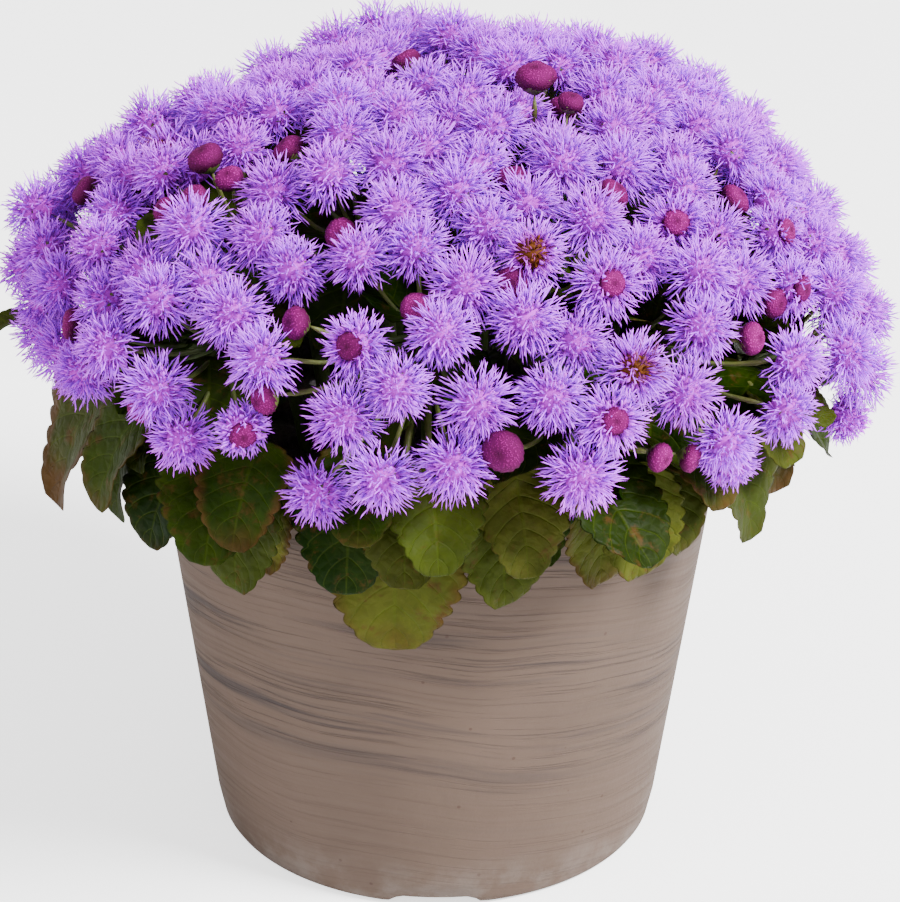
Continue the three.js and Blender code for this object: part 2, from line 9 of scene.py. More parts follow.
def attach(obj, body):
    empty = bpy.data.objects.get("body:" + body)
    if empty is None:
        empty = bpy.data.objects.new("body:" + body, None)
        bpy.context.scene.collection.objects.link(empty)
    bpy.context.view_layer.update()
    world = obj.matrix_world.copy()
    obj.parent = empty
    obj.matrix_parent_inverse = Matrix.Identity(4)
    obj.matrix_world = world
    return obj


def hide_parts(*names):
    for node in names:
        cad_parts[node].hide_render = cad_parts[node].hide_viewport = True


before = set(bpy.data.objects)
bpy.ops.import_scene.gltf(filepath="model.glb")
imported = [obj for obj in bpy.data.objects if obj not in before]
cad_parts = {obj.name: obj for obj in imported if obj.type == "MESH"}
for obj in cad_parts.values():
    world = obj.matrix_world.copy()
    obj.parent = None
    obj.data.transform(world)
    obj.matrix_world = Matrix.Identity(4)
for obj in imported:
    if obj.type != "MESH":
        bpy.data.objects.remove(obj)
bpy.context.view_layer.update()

bl_info = {
    "name": "Potted ageratum",
    "version": (1, 0, 0),
    "blender": (4, 5, 0),
    "location": "3D View > Sidebar > Ageratum",
    "description": "A flowering ageratum in a marbled clay pot, dressed over its solid model",
    "category": "Object",
}

# Lengths in this file are millimetres until a mesh is made, where they become metres.
METRES = 0.001
BODY = "root"

# ---- the plan that the solid model follows too --------------------------------------------------------
GAP = 0.3  # clearance between two pieces of the solid model
POT = {
    "height": 98, "rim": 57, "foot": 43.4, "wall": 5.5, "floor": 8, "recess": 3, "ring": 8,
    "drain": 6.5, "notches": 4, "notch_width": 17, "notch_height": 2.4, "sides": 32,
}
SOIL = {"top": 88, "crown": 2.5}
MOUND = {"offset": 1.5, "height": 112, "radius": 79, "rise": 41, "lowest": 97, "heart": 99}
# Swells and hollows of the dome: azimuth, polar angle, millimetres outward, spread in degrees.
SWELLS = (
    (138, 54, -8, 22), (170, 70, 2.5, 14), (106, 43, 6, 15), (78, 40, -4, 14),
    (12, 75, -6, 22), (-160, 90, -3, 18), (-18, 92, 2, 14),
)
SPRAYS = 24
SPIRAL = {"start": 0.9, "stray": 0.25, "inward": 0.97}
SPRAY_REACH = 0.5
BLOOMS = 238
SHIFT = 1.6
KNOT_DEPTH, KNOT_LENGTH = 22, 3.6
HEAD = {"radius": 6.9, "vary": 0.6, "relief": 2.2, "bulge": 4}
BUD = {"radius": 3.3, "share": 0.05}
CROWD = {"bud": 0.6, "head": 0.72}
LEAST_FACING = 0.01
# Blooms with a place of their own: bud or head, azimuth, polar angle, millimetres outward, radius.
CHOSEN = (
    (1, -40, 14, 9, 3.9), (1, -34, 19, 6, 2.7), (1, -152, 38, 4.5, 3.6), (1, -143, 38, 3, 2.9),
    (1, -145, 44, 3, 2.9), (1, -151, 48, 1, 2.6), (1, -79, 48, 0, 3.3), (1, -71, 26, 0, 3.3),
    (1, -95, 53, 0, 3), (1, -113, 59, 0.5, 3.2), (1, -83, 83, 3, 4.4), (1, -115, 76, -1, 3.2),
    (1, -135, 89, -1, 3.1), (1, -61, 92, -1, 2.9), (1, -56, 95, -1, 2.8), (1, -35, 66, 0, 3),
    (1, 121, 12, 1, 3.4), (0, -107, 99, -1, 6.6), (0, -98, 91, 0.5, 6.9), (0, -89, 87, 0.5, 7.3),
    (0, -118, 85, -2, 5.2), (0, -131, 81, 0.5, 7.2), (0, -127, 92, -1, 6.6), (0, -103, 77, 1, 7.2),
    (0, -86, 73, 1, 7.3), (0, -51, 92, 0, 6.6), (0, -64, 52, 2.5, 7.4), (0, -47, 103, -2, 5.6),
    (0, -21, 105, 3, 5.2), (0, -179, 84, 2, 6), (0, -173, 74, 0.5, 7), (0, 47, 12, 0.5, 7.3),
)
STEM = {
    "radius": 1.7, "steps": 4, "depth": 12, "spread": 0.66, "knee": (0.35, 0.7), "straight": 4,
    "leafy": (0.55, 0.94), "search": 0.06, "least": 0.35,
}
LEAF = {
    "thickness": 0.7, "fold": 0.2, "wave": 0.8, "waves": 9, "unlike": 2, "phases": 6,
    "belly": 0.7, "blunt": 0.8, "breadth": 0.88,
}
# Leaves with a place of their own: azimuth, radius, height, turn, rise, length, droop, and their look:
# yellowness and rust, both from 0 to 1.
CHOSEN_LEAVES = (
    (176, 72, 102, 0, 8, 15, 0.5, 0.25, 0.05), (-167, 62, 104, 6, -52, 33, 0.5, 0.35, 0.85),
    (-153, 63, 106, -10, -48, 25, 0.5, 0.1, 0.3), (-140, 60, 101, 0, -55, 24, 0.4, 0.0, 0.15),
    (-129, 60, 104, 26, -28, 26, 0.6, 0.05, 0.1), (-121, 60, 98.5, -4, -76, 20, 0.3, 0.85, 0.45),
    (-111, 59, 103, 8, -55, 24, 0.5, 0.0, 0.05), (-97, 60, 99, 0, -80, 32, 0.25, 0.5, 0.3),
    (-102, 61, 103, 10, -46, 21, 0.6, 0.45, 0.1), (-86, 60, 99, 16, -70, 22, 0.3, 0.3, 0.15),
    (-77, 60, 104, 6, -50, 21, 0.5, 0.7, 0.1), (-68, 60, 105, 24, -20, 27, 0.5, 0.05, 0.05),
    (-61, 60, 99, 4, -78, 22, 0.3, 0.4, 0.35), (-50, 60, 102, 6, -55, 21, 0.4, 0.35, 0.25),
    (-41, 62, 104, 2, -58, 26, 0.4, 0.25, 0.15), (-38, 68, 108, 0, 8, 17, 0.5, 0.2, 0.05),
    (-12, 62, 104, 4, -40, 24, 0.5, 0.1, 0.1), (-4, 61, 100, -6, -60, 23, 0.4, 0.3, 0.2),
)
# Rings of leaves: count, azimuth, radius, height, rise, length, droop.
RINGS = (
    (8, 20, 60, 100, -62, 25, 0.6), (10, 7, 58, 103, -34, 24, 0.9),
    (9, 18, 57, 106, -14, 23, 0.9), (5, 3, 30, 108, 10, 20, 0.7),
)
SIDEWAYS = (0, 6, -6, 12, -12)
# Changes that a leaf was tried with: out, up, rise, size.
CHANGES = ((0, 0, 0, 1), (2, 1.5, 6, 0.92), (0, -1.5, -8, 0.85), (4, 3, 4, 0.85), (1, 1, 14, 0.75))
STRAY = {"azimuth": 5, "height": 1.2, "turn": 14, "rise": 7, "length": 0.14, "droop": 0.2}
AGEING = {"yellow": 0.55, "rust": 0.5}  # the most that a leaf of a ring has
RING_SEED = 40  # how far apart the draws of two rings lie
AREA_STEPS, HALVINGS, ARC_STEPS = 60, 40, 200
GOLDEN = math.pi * (3 - math.sqrt(5))
HASH = (12.9898, 78.233, 43758.5453)  # the steps for item and purpose, and the size, of the sine in draw

# ---- what only this file adds -------------------------------------------------------------------------
# Heads whose middle is still in bud, and heads that are withering: azimuth, polar angle.
YOUNG = ((-20, 56), (-27, 62), (-64, 52), (-105, 62), (-101, 53), (-118, 85), (-43, 46), (-65, 82))
WITHERED = ((-180, 43), (-83, 44), (-65, 71))
# A head's florets stand round it from its crown down to the sine "low". A young head's stay below the
# sine "young".
FAN = {"low": -0.66, "young": 0.76}
# Threads come in two kinds: where their rings lie from root to tip, and how thick they are there.
LONG = {"rings": (0, 0.46, 0.88, 1), "thick": (0, 0.9, 1.15, 0)}
FINE = {"rings": (0, 0.62, 1), "thick": (0, 1.1, 0)}
THREAD = {
    "start": 2.6, "least": 4.3, "short": 0.74, "parting": 0.15, "stray": 0.23, "sway": 0.8,
    # the longest, as a share of the head's radius, how much that varies, and how much less at the crown
    "length": 1.04, "vary": 0.15, "crown": 0.1,
    # how far a thread that grows by "over" leans aside at least and beyond that, hangs, and bends back first
    "over": 4.2, "lean": 0.25, "more": 1.35, "hang": 0.35, "back": 0.35,
}
TUBE = {
    "start": 1.6, "end": 4.3, "vary": 0.8, "stray": 0.16, "thick": 0.4, "uneven": 0.25,
    "rings": (0, 0.8, 1), "along": 0.35, "tip": 0.6, "blush": (0.2, 0.4),
}
# How the threads' numbers are made: a thread's own share of its shade, the blush of a short one and at the
# crown, the sines above which threads and tubes wither, and how far threads do.
TINT = {"own": 0.65, "short": 0.5, "crown": 0.4, "threads": 0.86, "tubes": 0.68, "withered": 0.85}
CORE = {"radius": 3.1, "sides": 7, "levels": 4}  # the ball that a head's florets stand on
# the core takes the root colour, and with it the painted shade deep in a head
CORE_TINT = {"along": 0.1, "shade": 0.4, "blush": 0.25}
# A bud's button: its radius is "size" of the bloom's, and at most "largest" millimetres. In shares of that
# are its height, the width of the hollow on top, its knobs and its waves, and in shares of the height the
# hollow's depth and its underside. Its rings begin "first" of a step from its ends.
BUTTON = {
    "levels": 13, "sides": 26, "first": 0.7, "flat": 0.66, "dimple": 0.13, "hollow": 0.4, "knobs": 0.04,
    "waves": 0.03, "under": 0.95, "size": 0.92, "largest": 3.7,
}
DISC = {"radius": 2.5, "flat": 0.5, "lift": 2.3}  # the closed florets in the middle of a young head
# A cup of bracts. Its size is "head" millimetres behind a head, and the share "bud" of a button's radius.
# All else is in shares of that: its points, where it ends behind and inside, and its rings from the stalk
# over the rim and down inside, each as width, height and whether it has points. "along" is for its colour.
CUP = {
    "head": 2.8, "bud": 0.955, "sides": 10, "points": 0.096, "behind": 1.1, "inside": 0.5,
    "rings": (
        (0.2, -1.02, 0), (0.72, -0.624, 0), (0.97, -0.24, 0), (1, 0, 1), (0.86, -0.08, 1), (0.5, -0.4, 0),
    ),
    "along": (0, 0.3, 0.6, 1, 0.8, 0.3),
}
# Stalks of blooms and of leaves: thickness from end to end, points round, how far they bow or arch as a
# share of their length, and where they end: behind a head, behind a bud as a share of it, inside a blade.
STALK = {"thick": (0, 0.7, 0.55, 0.46, 0.42, 0.42, 0.5, 0), "sides": 6, "bow": 0.09, "head": 2.6, "bud": 0.6}
PETIOLE = {"thick": (0, 0.95, 0.8, 0.72, 0.68, 0.66, 0.6, 0), "sides": 6, "arch": 0.08, "inside": 1.2}
# A stem: its rings, its points round, how much thinner its end is, and how far along it counts as there.
TWIG = {"levels": 16, "sides": 10, "thinner": 0.3, "along": 0.4}
# A blade: its teeth and how round they are, how much narrower its outline's power makes the tip, its width
# between the teeth, the powers that keep teeth and waves to its edge, its wave, half its thickness, and its
# points across and along.
BLADE = {
    "teeth": 9.5, "roundness": 0.7, "narrower": 0.4, "margin": 1.03, "fringe": 4, "ripple": 1.6,
    "wave": 1.15, "half": 0.2, "columns": 9, "levels": 49, "small_levels": 14,
}
CRINKLES = ((25, 2, 3), (9, 1, 7))  # how fast its two sines run along it, with its phase, and across it
# The whorl of leaves below each spray. The pairs for tilt and length are a middle value and how far it
# strays, and the others a least value and how much more it may be.
WHORL = {
    "count": 5, "stray": 0.5, "tilt": (8, 12), "above": (4, 3), "out": 3, "length": (21, 4),
    "droop": (0.5, 0.3), "phase": 6, "yellow": 0.3, "rust": 0.2,
}
FINE_SEED, TUBE_SEED = 40, 80  # added to a spray's number for the draws of its fine threads and tubes
MATCH = 0.15  # how near a leaf's tip lies to its corner in the solid model
# The pot: radii of its rounded edges and the points on each, how far in from the foot's edge its underside
# has a ring, the slope beside a notch, the lowest and highest ring of the wall and their number, the heights
# of the rings inside, and a small margin.
EDGES = {
    "foot": 2.2, "rim": 1.3, "points": 5, "sole": 5, "slope": 3.2, "wall": (6, 95, 14),
    "inner": (80, 50, 20), "margin": 0.1,
}
# The soil's top: its points round, its rings, and its crumbs, which lie within a share of its radius. Pairs
# are a least value and how much more it may be.
CRUMBS = {
    "sides": 150, "rings": 38, "count": 420, "within": 0.97, "wide": (0.9, 1.8), "tall": (0.3, 1.0),
}
MAP = "OFBake"
# A skin's cell in the map: where its points start, half its width, its lowest ring, its height and its ends.
CELL = {"first": 0.3, "half": 0.35, "low": 0.12, "span": 0.76, "ends": (0.1, 0.9)}
# The same for a blade: how far each face lies from the middle, half its width, and the rest as above.
BLADE_CELL = {"apart": 0.22, "half": 0.2, "low": 0.04, "span": 0.92, "ends": (0.02, 0.98)}
STEM_CELLS = 4  # cells each way in the map of a stem and its leaf stalks
# The side ribs of a leaf: how many, where the first stands, how far they sweep and how that bends.
RIBS = {"count": 7.0, "first": 0.3, "sweep": 0.26, "bend": 1.3}
# Cells of each pattern in a metre, and the depth in metres of each relief.
CELLS = {
    "beads": 2600.0, "stalk": 160.0,
    "leaf": 240.0, "net": 420.0, "patches": 70.0, "spots": 210.0, "edge": 150.0,
    "clay": 38.0, "wander": 14.0, "specks": 170.0, "chalk": 90.0,
    "soil": 180.0, "crumbs": 210.0,
}
RELIEF = {"beads": 0.00012, "stalk": 0.0002, "leaf": 0.00024, "clay": 0.00025, "soil": 0.0012}
# The marbling: scale round the pot and up it, detail, roughness and distortion of each noise. The streaks
# fall toward the right and the back by these shares, and wave; shift moves the pattern down.
STREAKS = {
    "grain": (26.0, 1300.0, 3.0, 0.6, 0.0), "bands": (5.0, 62.0, 2.0, 0.5, 0.2),
    "veins": (12.0, 300.0, 4.0, 0.6, 0.3),
}
LEANING = {"right": 0.07, "back": 0.24, "shift": 0.03, "wave": 0.012}
WHITE = (1, 1, 1, 1)
SHADY_GREEN, SOIL_BROWN, PERLITE = (0.0015, 0.004, 0.0003, 1), (0.028, 0.017, 0.010, 1), (0.62, 0.6, 0.55, 1)
# In metres: the floor's half width, the lamps (name, place, size), where they aim, and the nearest and
# farthest that the camera sees. Where the camera aims is in millimetres.
FLOOR = 3.0
LAMPS = (("main_light", (1.1, -0.55, 1.2), 0.6), ("side_light", (-0.9, -0.6, 0.55), 0.9))
LAMP_AIM, CAMERA_AIM, CAMERA_LIMITS = (0, 0, 0.1), (2.2, 0.0, 77.5), (0.02, 20)


def draw(i, k):
    """A repeatable number from 0 to 1 for item i and purpose k: the fraction of a large sine."""
    s = np.sin(np.asarray(i, float) * HASH[0] + k * HASH[1]) * HASH[2]
    return s - np.floor(s)


def swing(i, k):
    """The same, from -1 to 1."""
    return 2 * draw(i, k) - 1


def unit(v):
    """Each vector divided by its length."""
    return v / np.maximum(np.linalg.norm(v, axis=-1, keepdims=True), 1e-12)


def ball(polar, azimuth):
    """The direction with a polar angle from straight up and an azimuth, both in radians."""
    return np.stack(
        [np.sin(polar) * np.cos(azimuth), np.sin(polar) * np.sin(azimuth), np.cos(polar)], -1
    )


def on_dome(polar, azimuth, out):
    """Points out millimetres outside a flattened ball, whose swells fall off as exp(-(angle / spread)^2)."""
    way = ball(polar, azimuth)
    swell = np.zeros(way.shape[:-1]) + out
    for s_azimuth, s_polar, s_out, spread in SWELLS:
        middle = ball(np.radians(s_polar), np.radians(s_azimuth))
        angle = np.arccos(np.clip(way @ middle, -1, 1)) / math.radians(spread)
        swell = swell + s_out * np.exp(-angle * angle)
    size = np.array([MOUND["radius"], MOUND["radius"], MOUND["rise"]], float)
    return way * size + unit(way / size) * swell[..., None] + [MOUND["offset"], 0, MOUND["height"]]


def dome_area(t):
    """Area of the dome above each polar angle t, up to a factor, summed over even slices."""
    m = t[:, None] * (np.arange(AREA_STEPS) + 0.5) / AREA_STEPS
    slices = np.sin(m) * np.hypot(MOUND["radius"] * np.cos(m), MOUND["rise"] * np.sin(m))
    return slices.sum(1) * t / AREA_STEPS


def polar_at(share):
    """The polar angles above which these shares of the dome's area lie, by halving."""
    lowest = math.radians(MOUND["lowest"])
    wanted = share * dome_area(np.array([lowest]))[0]
    low, high = np.zeros(len(share)), np.full(len(share), lowest)
    for _ in range(HALVINGS):
        middle = (low + high) / 2
        under = dome_area(middle) < wanted
        low, high = np.where(under, middle, low), np.where(under, high, middle)
    return (low + high) / 2


def plan_sprays():
    """Axis and knot of each spray: a golden spiral of equal shares of the dome's area."""
    k = np.arange(SPRAYS)
    heart = np.array([MOUND["offset"], 0, MOUND["heart"]], float)
    polar = polar_at((k + 0.5) / SPRAYS) * SPIRAL["inward"]
    surface = on_dome(polar, k * GOLDEN + SPIRAL["start"] + SPIRAL["stray"] * swing(k, 1), 0)
    axis = unit(surface - heart)
    return {"heart": heart, "axis": axis, "knot": surface - KNOT_DEPTH * axis}


def nearest_spray(sprays, points):
    """The spray whose axis is nearest to each point, and how near it is, from 1 on the axis to 0."""
    facing = unit(points - sprays["heart"]) @ sprays["axis"].T
    near = facing.max(1)
    return facing.argmax(1), np.maximum(0, 1 - np.arccos(np.minimum(1, near)) / SPRAY_REACH)


def bloom_lot(azimuth, polar, out, radius, bud, spin):
    """Blooms as arrays: centre, radius, kind, turn, and the way to each from the middle of the dome."""
    return {
        "centre": on_dome(polar, azimuth, out), "radius": radius, "bud": bud, "spin": 2 * np.pi * spin,
        "way": ball(polar, azimuth),
    }


def plan_blooms(sprays):
    """Every bloom, and the spray it belongs to: the chosen ones, and an even cover round them."""
    bud, azimuth, polar, out, radius = (np.array(column, float) for column in zip(*CHOSEN))
    spin = draw(np.arange(len(CHOSEN)), 8)
    first = bloom_lot(np.radians(azimuth), np.radians(polar), out, radius, bud > 0, spin)
    i = np.arange(BLOOMS)
    even = polar_at((i + 0.5) / BLOOMS)
    span = np.hypot(MOUND["radius"] * np.cos(even), MOUND["rise"] * np.sin(even))
    polar = np.abs(even + SHIFT * swing(i, 2) / span)
    azimuth = i * GOLDEN + SHIFT * swing(i, 3) / (MOUND["radius"] * np.sin(even))
    bud = draw(i, 4) < BUD["share"]
    centred = nearest_spray(sprays, on_dome(polar, azimuth, 0))[1]
    out = HEAD["bulge"] * (centred - 0.5) + HEAD["relief"] * swing(i, 5)
    radius = np.where(bud, BUD["radius"], HEAD["radius"] + HEAD["vary"] * swing(i, 6))
    rest = bloom_lot(azimuth, polar, out, radius, bud, draw(i, 7))
    apart = np.linalg.norm(rest["centre"][:, None] - first["centre"][None], axis=2)
    crowd = np.where(first["bud"], CROWD["bud"], CROWD["head"])
    kept = (apart >= crowd * (rest["radius"][:, None] + first["radius"][None])).all(1)
    blooms = {key: np.concatenate([first[key], rest[key][kept]]) for key in first}
    blooms["spray"] = nearest_spray(sprays, blooms["centre"])[0]
    blooms["axis"] = unit(blooms["centre"] - sprays["knot"][blooms["spray"]])
    for key, places in (("young", YOUNG), ("withered", WITHERED)):
        azimuth, polar = np.radians(places).T
        facing = np.where(blooms["bud"][None], -1, ball(polar, azimuth) @ blooms["way"].T)
        blooms[key] = np.zeros(len(blooms["bud"]))
        blooms[key][facing.argmax(1)] = 1
    return blooms


def reach(blooms, b, ways, wanted, slack):
    """How far bloom b goes along each way before the plane between it and a neighbour, plus slack."""
    between = blooms["centre"] - blooms["centre"][b]
    distance = np.linalg.norm(between, axis=1)
    near = (distance > 0) & (distance < 3 * HEAD["radius"])
    facing = ways @ (between[near] / distance[near, None]).T
    own = blooms["radius"][b]
    plane = distance[near] * own / (own + blooms["radius"][near]) - GAP / 2 + slack
    length = np.where(facing > LEAST_FACING, plane / np.maximum(facing, LEAST_FACING), np.inf)
    return np.minimum(wanted, length.min(1, initial=np.inf))


# ---- the stems' curves --------------------------------------------------------------------------------
def wall_radius(z):
    """Outer radius of the pot at a height: a straight taper."""
    return POT["foot"] + (POT["rim"] - POT["foot"]) * z / POT["height"]


def soil_radius(z):
    """Outer radius of the soil at a height, clear of the wall."""
    return wall_radius(z) - POT["wall"] - GAP / math.cos(math.pi / POT["sides"])


def soil_height(distance):
    """Height of the soil at a distance from the axis: a shallow cone."""
    return SOIL["top"] + SOIL["crown"] * (1 - distance / soil_radius(SOIL["top"]))


def smooth_curve(corners, t):
    """Points at t, from 0 to 1, on a centripetal Catmull-Rom spline through the corners."""
    corners = np.concatenate([[2 * corners[0] - corners[1]], corners, [2 * corners[-1] - corners[-2]]])
    spans = len(corners) - 3
    i = np.minimum((t * spans).astype(int), spans - 1)
    w = (t * spans - i)[:, None]
    p0, p1, p2, p3 = (corners[i + k] for k in range(4))
    d0, d1, d2 = (np.linalg.norm(b - a, axis=1)[:, None] ** 0.5 for a, b in ((p0, p1), (p1, p2), (p2, p3)))
    t1 = ((p1 - p0) / d0 - (p2 - p0) / (d0 + d1) + (p2 - p1) / d1) * d1
    t2 = ((p2 - p1) / d1 - (p3 - p1) / (d1 + d2) + (p3 - p2) / d2) * d1
    return p1 + t1 * w + (3 * (p2 - p1) - 2 * t1 - t2) * w**2 + (2 * (p1 - p2) + t1 + t2) * w**3


def spaced(corners, shares):
    """Points on the same spline at shares of its length."""
    t = np.arange(ARC_STEPS + 1) / ARC_STEPS
    steps = np.linalg.norm(np.diff(smooth_curve(corners, t), axis=0), axis=1)
    along = np.concatenate([[0], np.cumsum(steps)])
    return smooth_curve(corners, np.interp(np.asarray(shares) * along[-1], along, t))


def plan_stems(sprays):
    """Corners of each stem's curve: below the soil, its foot, its knee, and square to the knot."""
    stems = []
    for axis, knot in zip(sprays["axis"], sprays["knot"]):
        end = knot - axis * (KNOT_LENGTH / 2 + GAP)
        foot = end * STEM["spread"]
        foot[2] = soil_height(math.hypot(foot[0], foot[1]))
        knee = foot + (end - foot) * STEM["knee"][0]
        knee[2] = foot[2] + STEM["knee"][1] * (end[2] - foot[2])
        below, before = foot - [0, 0, STEM["depth"]], end - axis * STEM["straight"]
        stems.append(np.array([below, foot, knee, before, end]))
    return stems


# ---- the leaves' places -------------------------------------------------------------------------------
def leaf_places():
    """Azimuth, radius, height, turn, rise, length, droop, yellowness and rust of every leaf."""
    places = [list(place) for place in CHOSEN_LEAVES]
    for r, (count, azimuth, radius, height, rise, length, droop) in enumerate(RINGS):
        i = np.arange(count)
        seed = RING_SEED * r + i
        rows = (
            azimuth + 360 * i / count + STRAY["azimuth"] * swing(seed, 11),
            np.full(count, radius),
            height + STRAY["height"] * swing(seed, 12),
            STRAY["turn"] * swing(seed, 13),
            rise + STRAY["rise"] * swing(seed, 14),
            length * (1 + STRAY["length"] * swing(seed, 15)),
            droop * (1 + STRAY["droop"] * swing(seed, 16)),
            AGEING["yellow"] * draw(seed, 21) ** 2,
            AGEING["rust"] * draw(seed, 22) ** 2,
        )
        places += [list(row) for row in np.array(rows).T]
    return np.array(places, float)


def leaf_frames(leaves):
    """The two ways square to the start of each blade: to its side, and out of its upper face."""
    side = unit(np.cross(leaves["along"], [0.0, 0.0, 1.0]))
    return side, unit(np.cross(side, leaves["along"]))


def rib_points(leaves, shares):
    """Points at shares of each rib, which bends down as an arc of droop radians, and the blade's normals."""
    up = leaf_frames(leaves)[1][:, None]
    along, droop = leaves["along"][:, None], leaves["droop"][:, None]
    bend = (droop * shares)[..., None]
    length = (leaves["length"][:, None] / droop)[..., None]
    point = leaves["collar"][:, None] + along * length * np.sin(bend) - up * length * (1 - np.cos(bend))
    return point, up * np.cos(bend) + along * np.sin(bend)


def nearest_stem(stems, collars, along):
    """The stem, and the point on it, that each leaf starts from: the nearest one behind the leaf."""
    shares = np.arange(STEM["leafy"][0], STEM["leafy"][1], STEM["search"])
    coarse = [spaced(corners, np.arange(STEM["steps"] + 1) / STEM["steps"]) for corners in stems]
    lower = np.floor(shares * STEM["steps"]).astype(int)
    part = (shares * STEM["steps"] - lower)[:, None]
    points = np.concatenate([c[lower] * (1 - part) + c[lower + 1] * part for c in coarse])
    stalk = collars[:, None] - points[None]
    distance = np.linalg.norm(stalk, axis=2)
    behind = np.einsum("lpc,lc->lp", stalk, along) > STEM["least"] * distance
    best = np.where(behind, distance, np.inf).argmin(1)
    return best // len(shares), shares[best % len(shares)]


def plan_leaves(stems):
    """Every leaf as it is in the solid model: of the ways it was tried, the one whose tip is a corner."""
    places = leaf_places()
    n, tries = len(places), len(CHANGES) * len(SIDEWAYS)
    out, up, rise, size = (np.repeat(column, len(SIDEWAYS))[None] for column in np.array(CHANGES, float).T)
    move = np.tile(SIDEWAYS, len(CHANGES))[None]
    azimuth = np.radians(places[:, :1] + move)
    heading = azimuth + np.radians(places[:, 3:4])
    tilt = np.radians(places[:, 4:5] + rise)
    radius = places[:, 1:2] + out
    collar = np.stack([radius * np.cos(azimuth), radius * np.sin(azimuth), places[:, 2:3] + up], -1)
    along = np.stack([np.cos(tilt) * np.cos(heading), np.cos(tilt) * np.sin(heading), np.sin(tilt)], -1)
    leaves = {
        "collar": collar.reshape(-1, 3),
        "along": along.reshape(-1, 3),
        "length": (places[:, 5:6] * size).ravel(),
        "droop": np.repeat(places[:, 6], tries),
        "phase": np.repeat(LEAF["phases"] * draw(np.arange(n), 17), tries),
        "yellow": np.repeat(places[:, 7], tries),
        "rust": np.repeat(places[:, 8], tries),
    }
    leaves["stem"], leaves["share"] = nearest_stem(stems, leaves["collar"], leaves["along"])
    tip, normal = (row[:, 0] for row in rib_points(leaves, np.ones(1)))
    tip = tip + normal * LEAF["thickness"] / 2
    away = np.full(len(tip), np.inf)
    for k in range(SPRAYS):
        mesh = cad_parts[f"stem_{k + 1:02d}"].data
        corners = np.empty(3 * len(mesh.vertices), np.float32)
        mesh.vertices.foreach_get("co", corners)
        mine = np.flatnonzero(leaves["stem"] == k)
        gaps = np.linalg.norm(tip[mine][:, None] - corners.reshape(-1, 3)[None] / METRES, axis=2)
        away[mine] = gaps.min(1)
    found = (away < MATCH).reshape(n, tries)
    picked = np.flatnonzero(found.any(1)) * tries + found.argmax(1)[found.any(1)]
    return {key: values[picked] for key, values in leaves.items()}


# ---- surfaces as whole arrays -------------------------------------------------------------------------
def turns(sides):
    """Even turns round a circle."""
    return 2 * np.pi * np.arange(sides) / sides


def square_to(ways):
    """Two unit vectors square to each way and to each other."""
    side = unit(np.array([1.0, 0, 0]) - ways * ways[..., :1])
    return side, np.cross(ways, side)


def aside(ways, turn):
    """The unit vector square to each way, at a turn round it."""
    side, across = square_to(ways)
    return side * np.cos(turn)[..., None] + across * np.sin(turn)[..., None]


def straight(starts, ends, t):
    """Points at shares t of the straight ways from starts to ends."""
    t = np.asarray(t, float)[:, None]
    return starts[:, None] * (1 - t) + ends[:, None] * t


def skins(rings, starts, ends):
    """Closed surfaces from rings of points (skin, ring, point, xyz), each drawn to a point at both ends.
    Their size is the number of skins, of rings in each and of points in a ring."""
    count, levels, sides = rings.shape[:3]
    each = levels * sides + 2
    corners = np.concatenate([rings.reshape(count, -1, 3), starts[:, None], ends[:, None]], 1)
    at = np.arange(levels * sides).reshape(levels, sides)
    after = np.roll(at, -1, 1)
    quads = np.stack([at[:-1], after[:-1], after[1:], at[1:]], -1).reshape(-1, 4)
    first = np.stack([np.full(sides, each - 2), after[0], at[0]], -1)
    last = np.stack([np.full(sides, each - 1), at[-1], after[-1]], -1)
    shift = (np.arange(count) * each)[:, None, None]
    return {
        "corners": corners.reshape(-1, 3),
        "quads": (quads[None] + shift).reshape(-1, 4),
        "triangles": (np.concatenate([first, last])[None] + shift).reshape(-1, 3),
        "size": (count, levels, sides),
    }


def tubes(paths, radii, sides):
    """Round tubes along paths (tube, point, xyz), with a radius at each point and both ends pointed."""
    radii = np.broadcast_to(radii, paths.shape[:2])
    ways = unit(paths[:, 2:] - paths[:, :-2])
    overall = unit(paths[:, -1] - paths[:, 0])
    helper = square_to(overall)[0][:, None]
    side = unit(helper - ways * (helper * ways).sum(-1, keepdims=True))
    across = np.cross(ways, side)
    turn = turns(sides)[:, None]
    circle = side[:, :, None] * np.cos(turn) + across[:, :, None] * np.sin(turn)
    rings = paths[:, 1:-1, None] + circle * radii[:, 1:-1, None, None]
    return skins(rings, paths[:, 0], paths[:, -1])


def in_cells(k, cells, u, v, ends):
    """The map of skins that have cells k of a square of cells, with their rings at u and v and their two ends
    in the middle."""
    u, v = np.append(u, [0.5, 0.5]), np.append(v, ends)
    col, row = (k % cells)[:, None], (k // cells)[:, None]
    return np.stack([(col + u) / cells, (row + v) / cells], -1).reshape(-1, 2)


def spread_map(shape, start=0, cells=None):
    """A map with a cell for each skin: one way along it, the other there and back round it."""
    count, levels, sides = shape["size"]
    turn = 2 * np.pi * (np.arange(sides) + CELL["first"]) / sides
    u = np.tile(0.5 + CELL["half"] * np.cos(turn), levels)
    v = np.repeat(CELL["low"] + CELL["span"] * (np.arange(levels) + 1) / (levels + 1), sides)
    return in_cells(np.arange(count) + start, cells or math.ceil(math.sqrt(count)), u, v, CELL["ends"])


def blade_map(shape, face, across, along):
    """A map with a cell for each blade, whose two faces lie side by side."""
    count, levels, sides = shape["size"]
    u = np.tile(0.5 + BLADE_CELL["apart"] * face + BLADE_CELL["half"] * across, levels)
    v = np.repeat(BLADE_CELL["low"] + BLADE_CELL["span"] * along, sides)
    return in_cells(np.arange(count), math.ceil(math.sqrt(count)), u, v, BLADE_CELL["ends"])


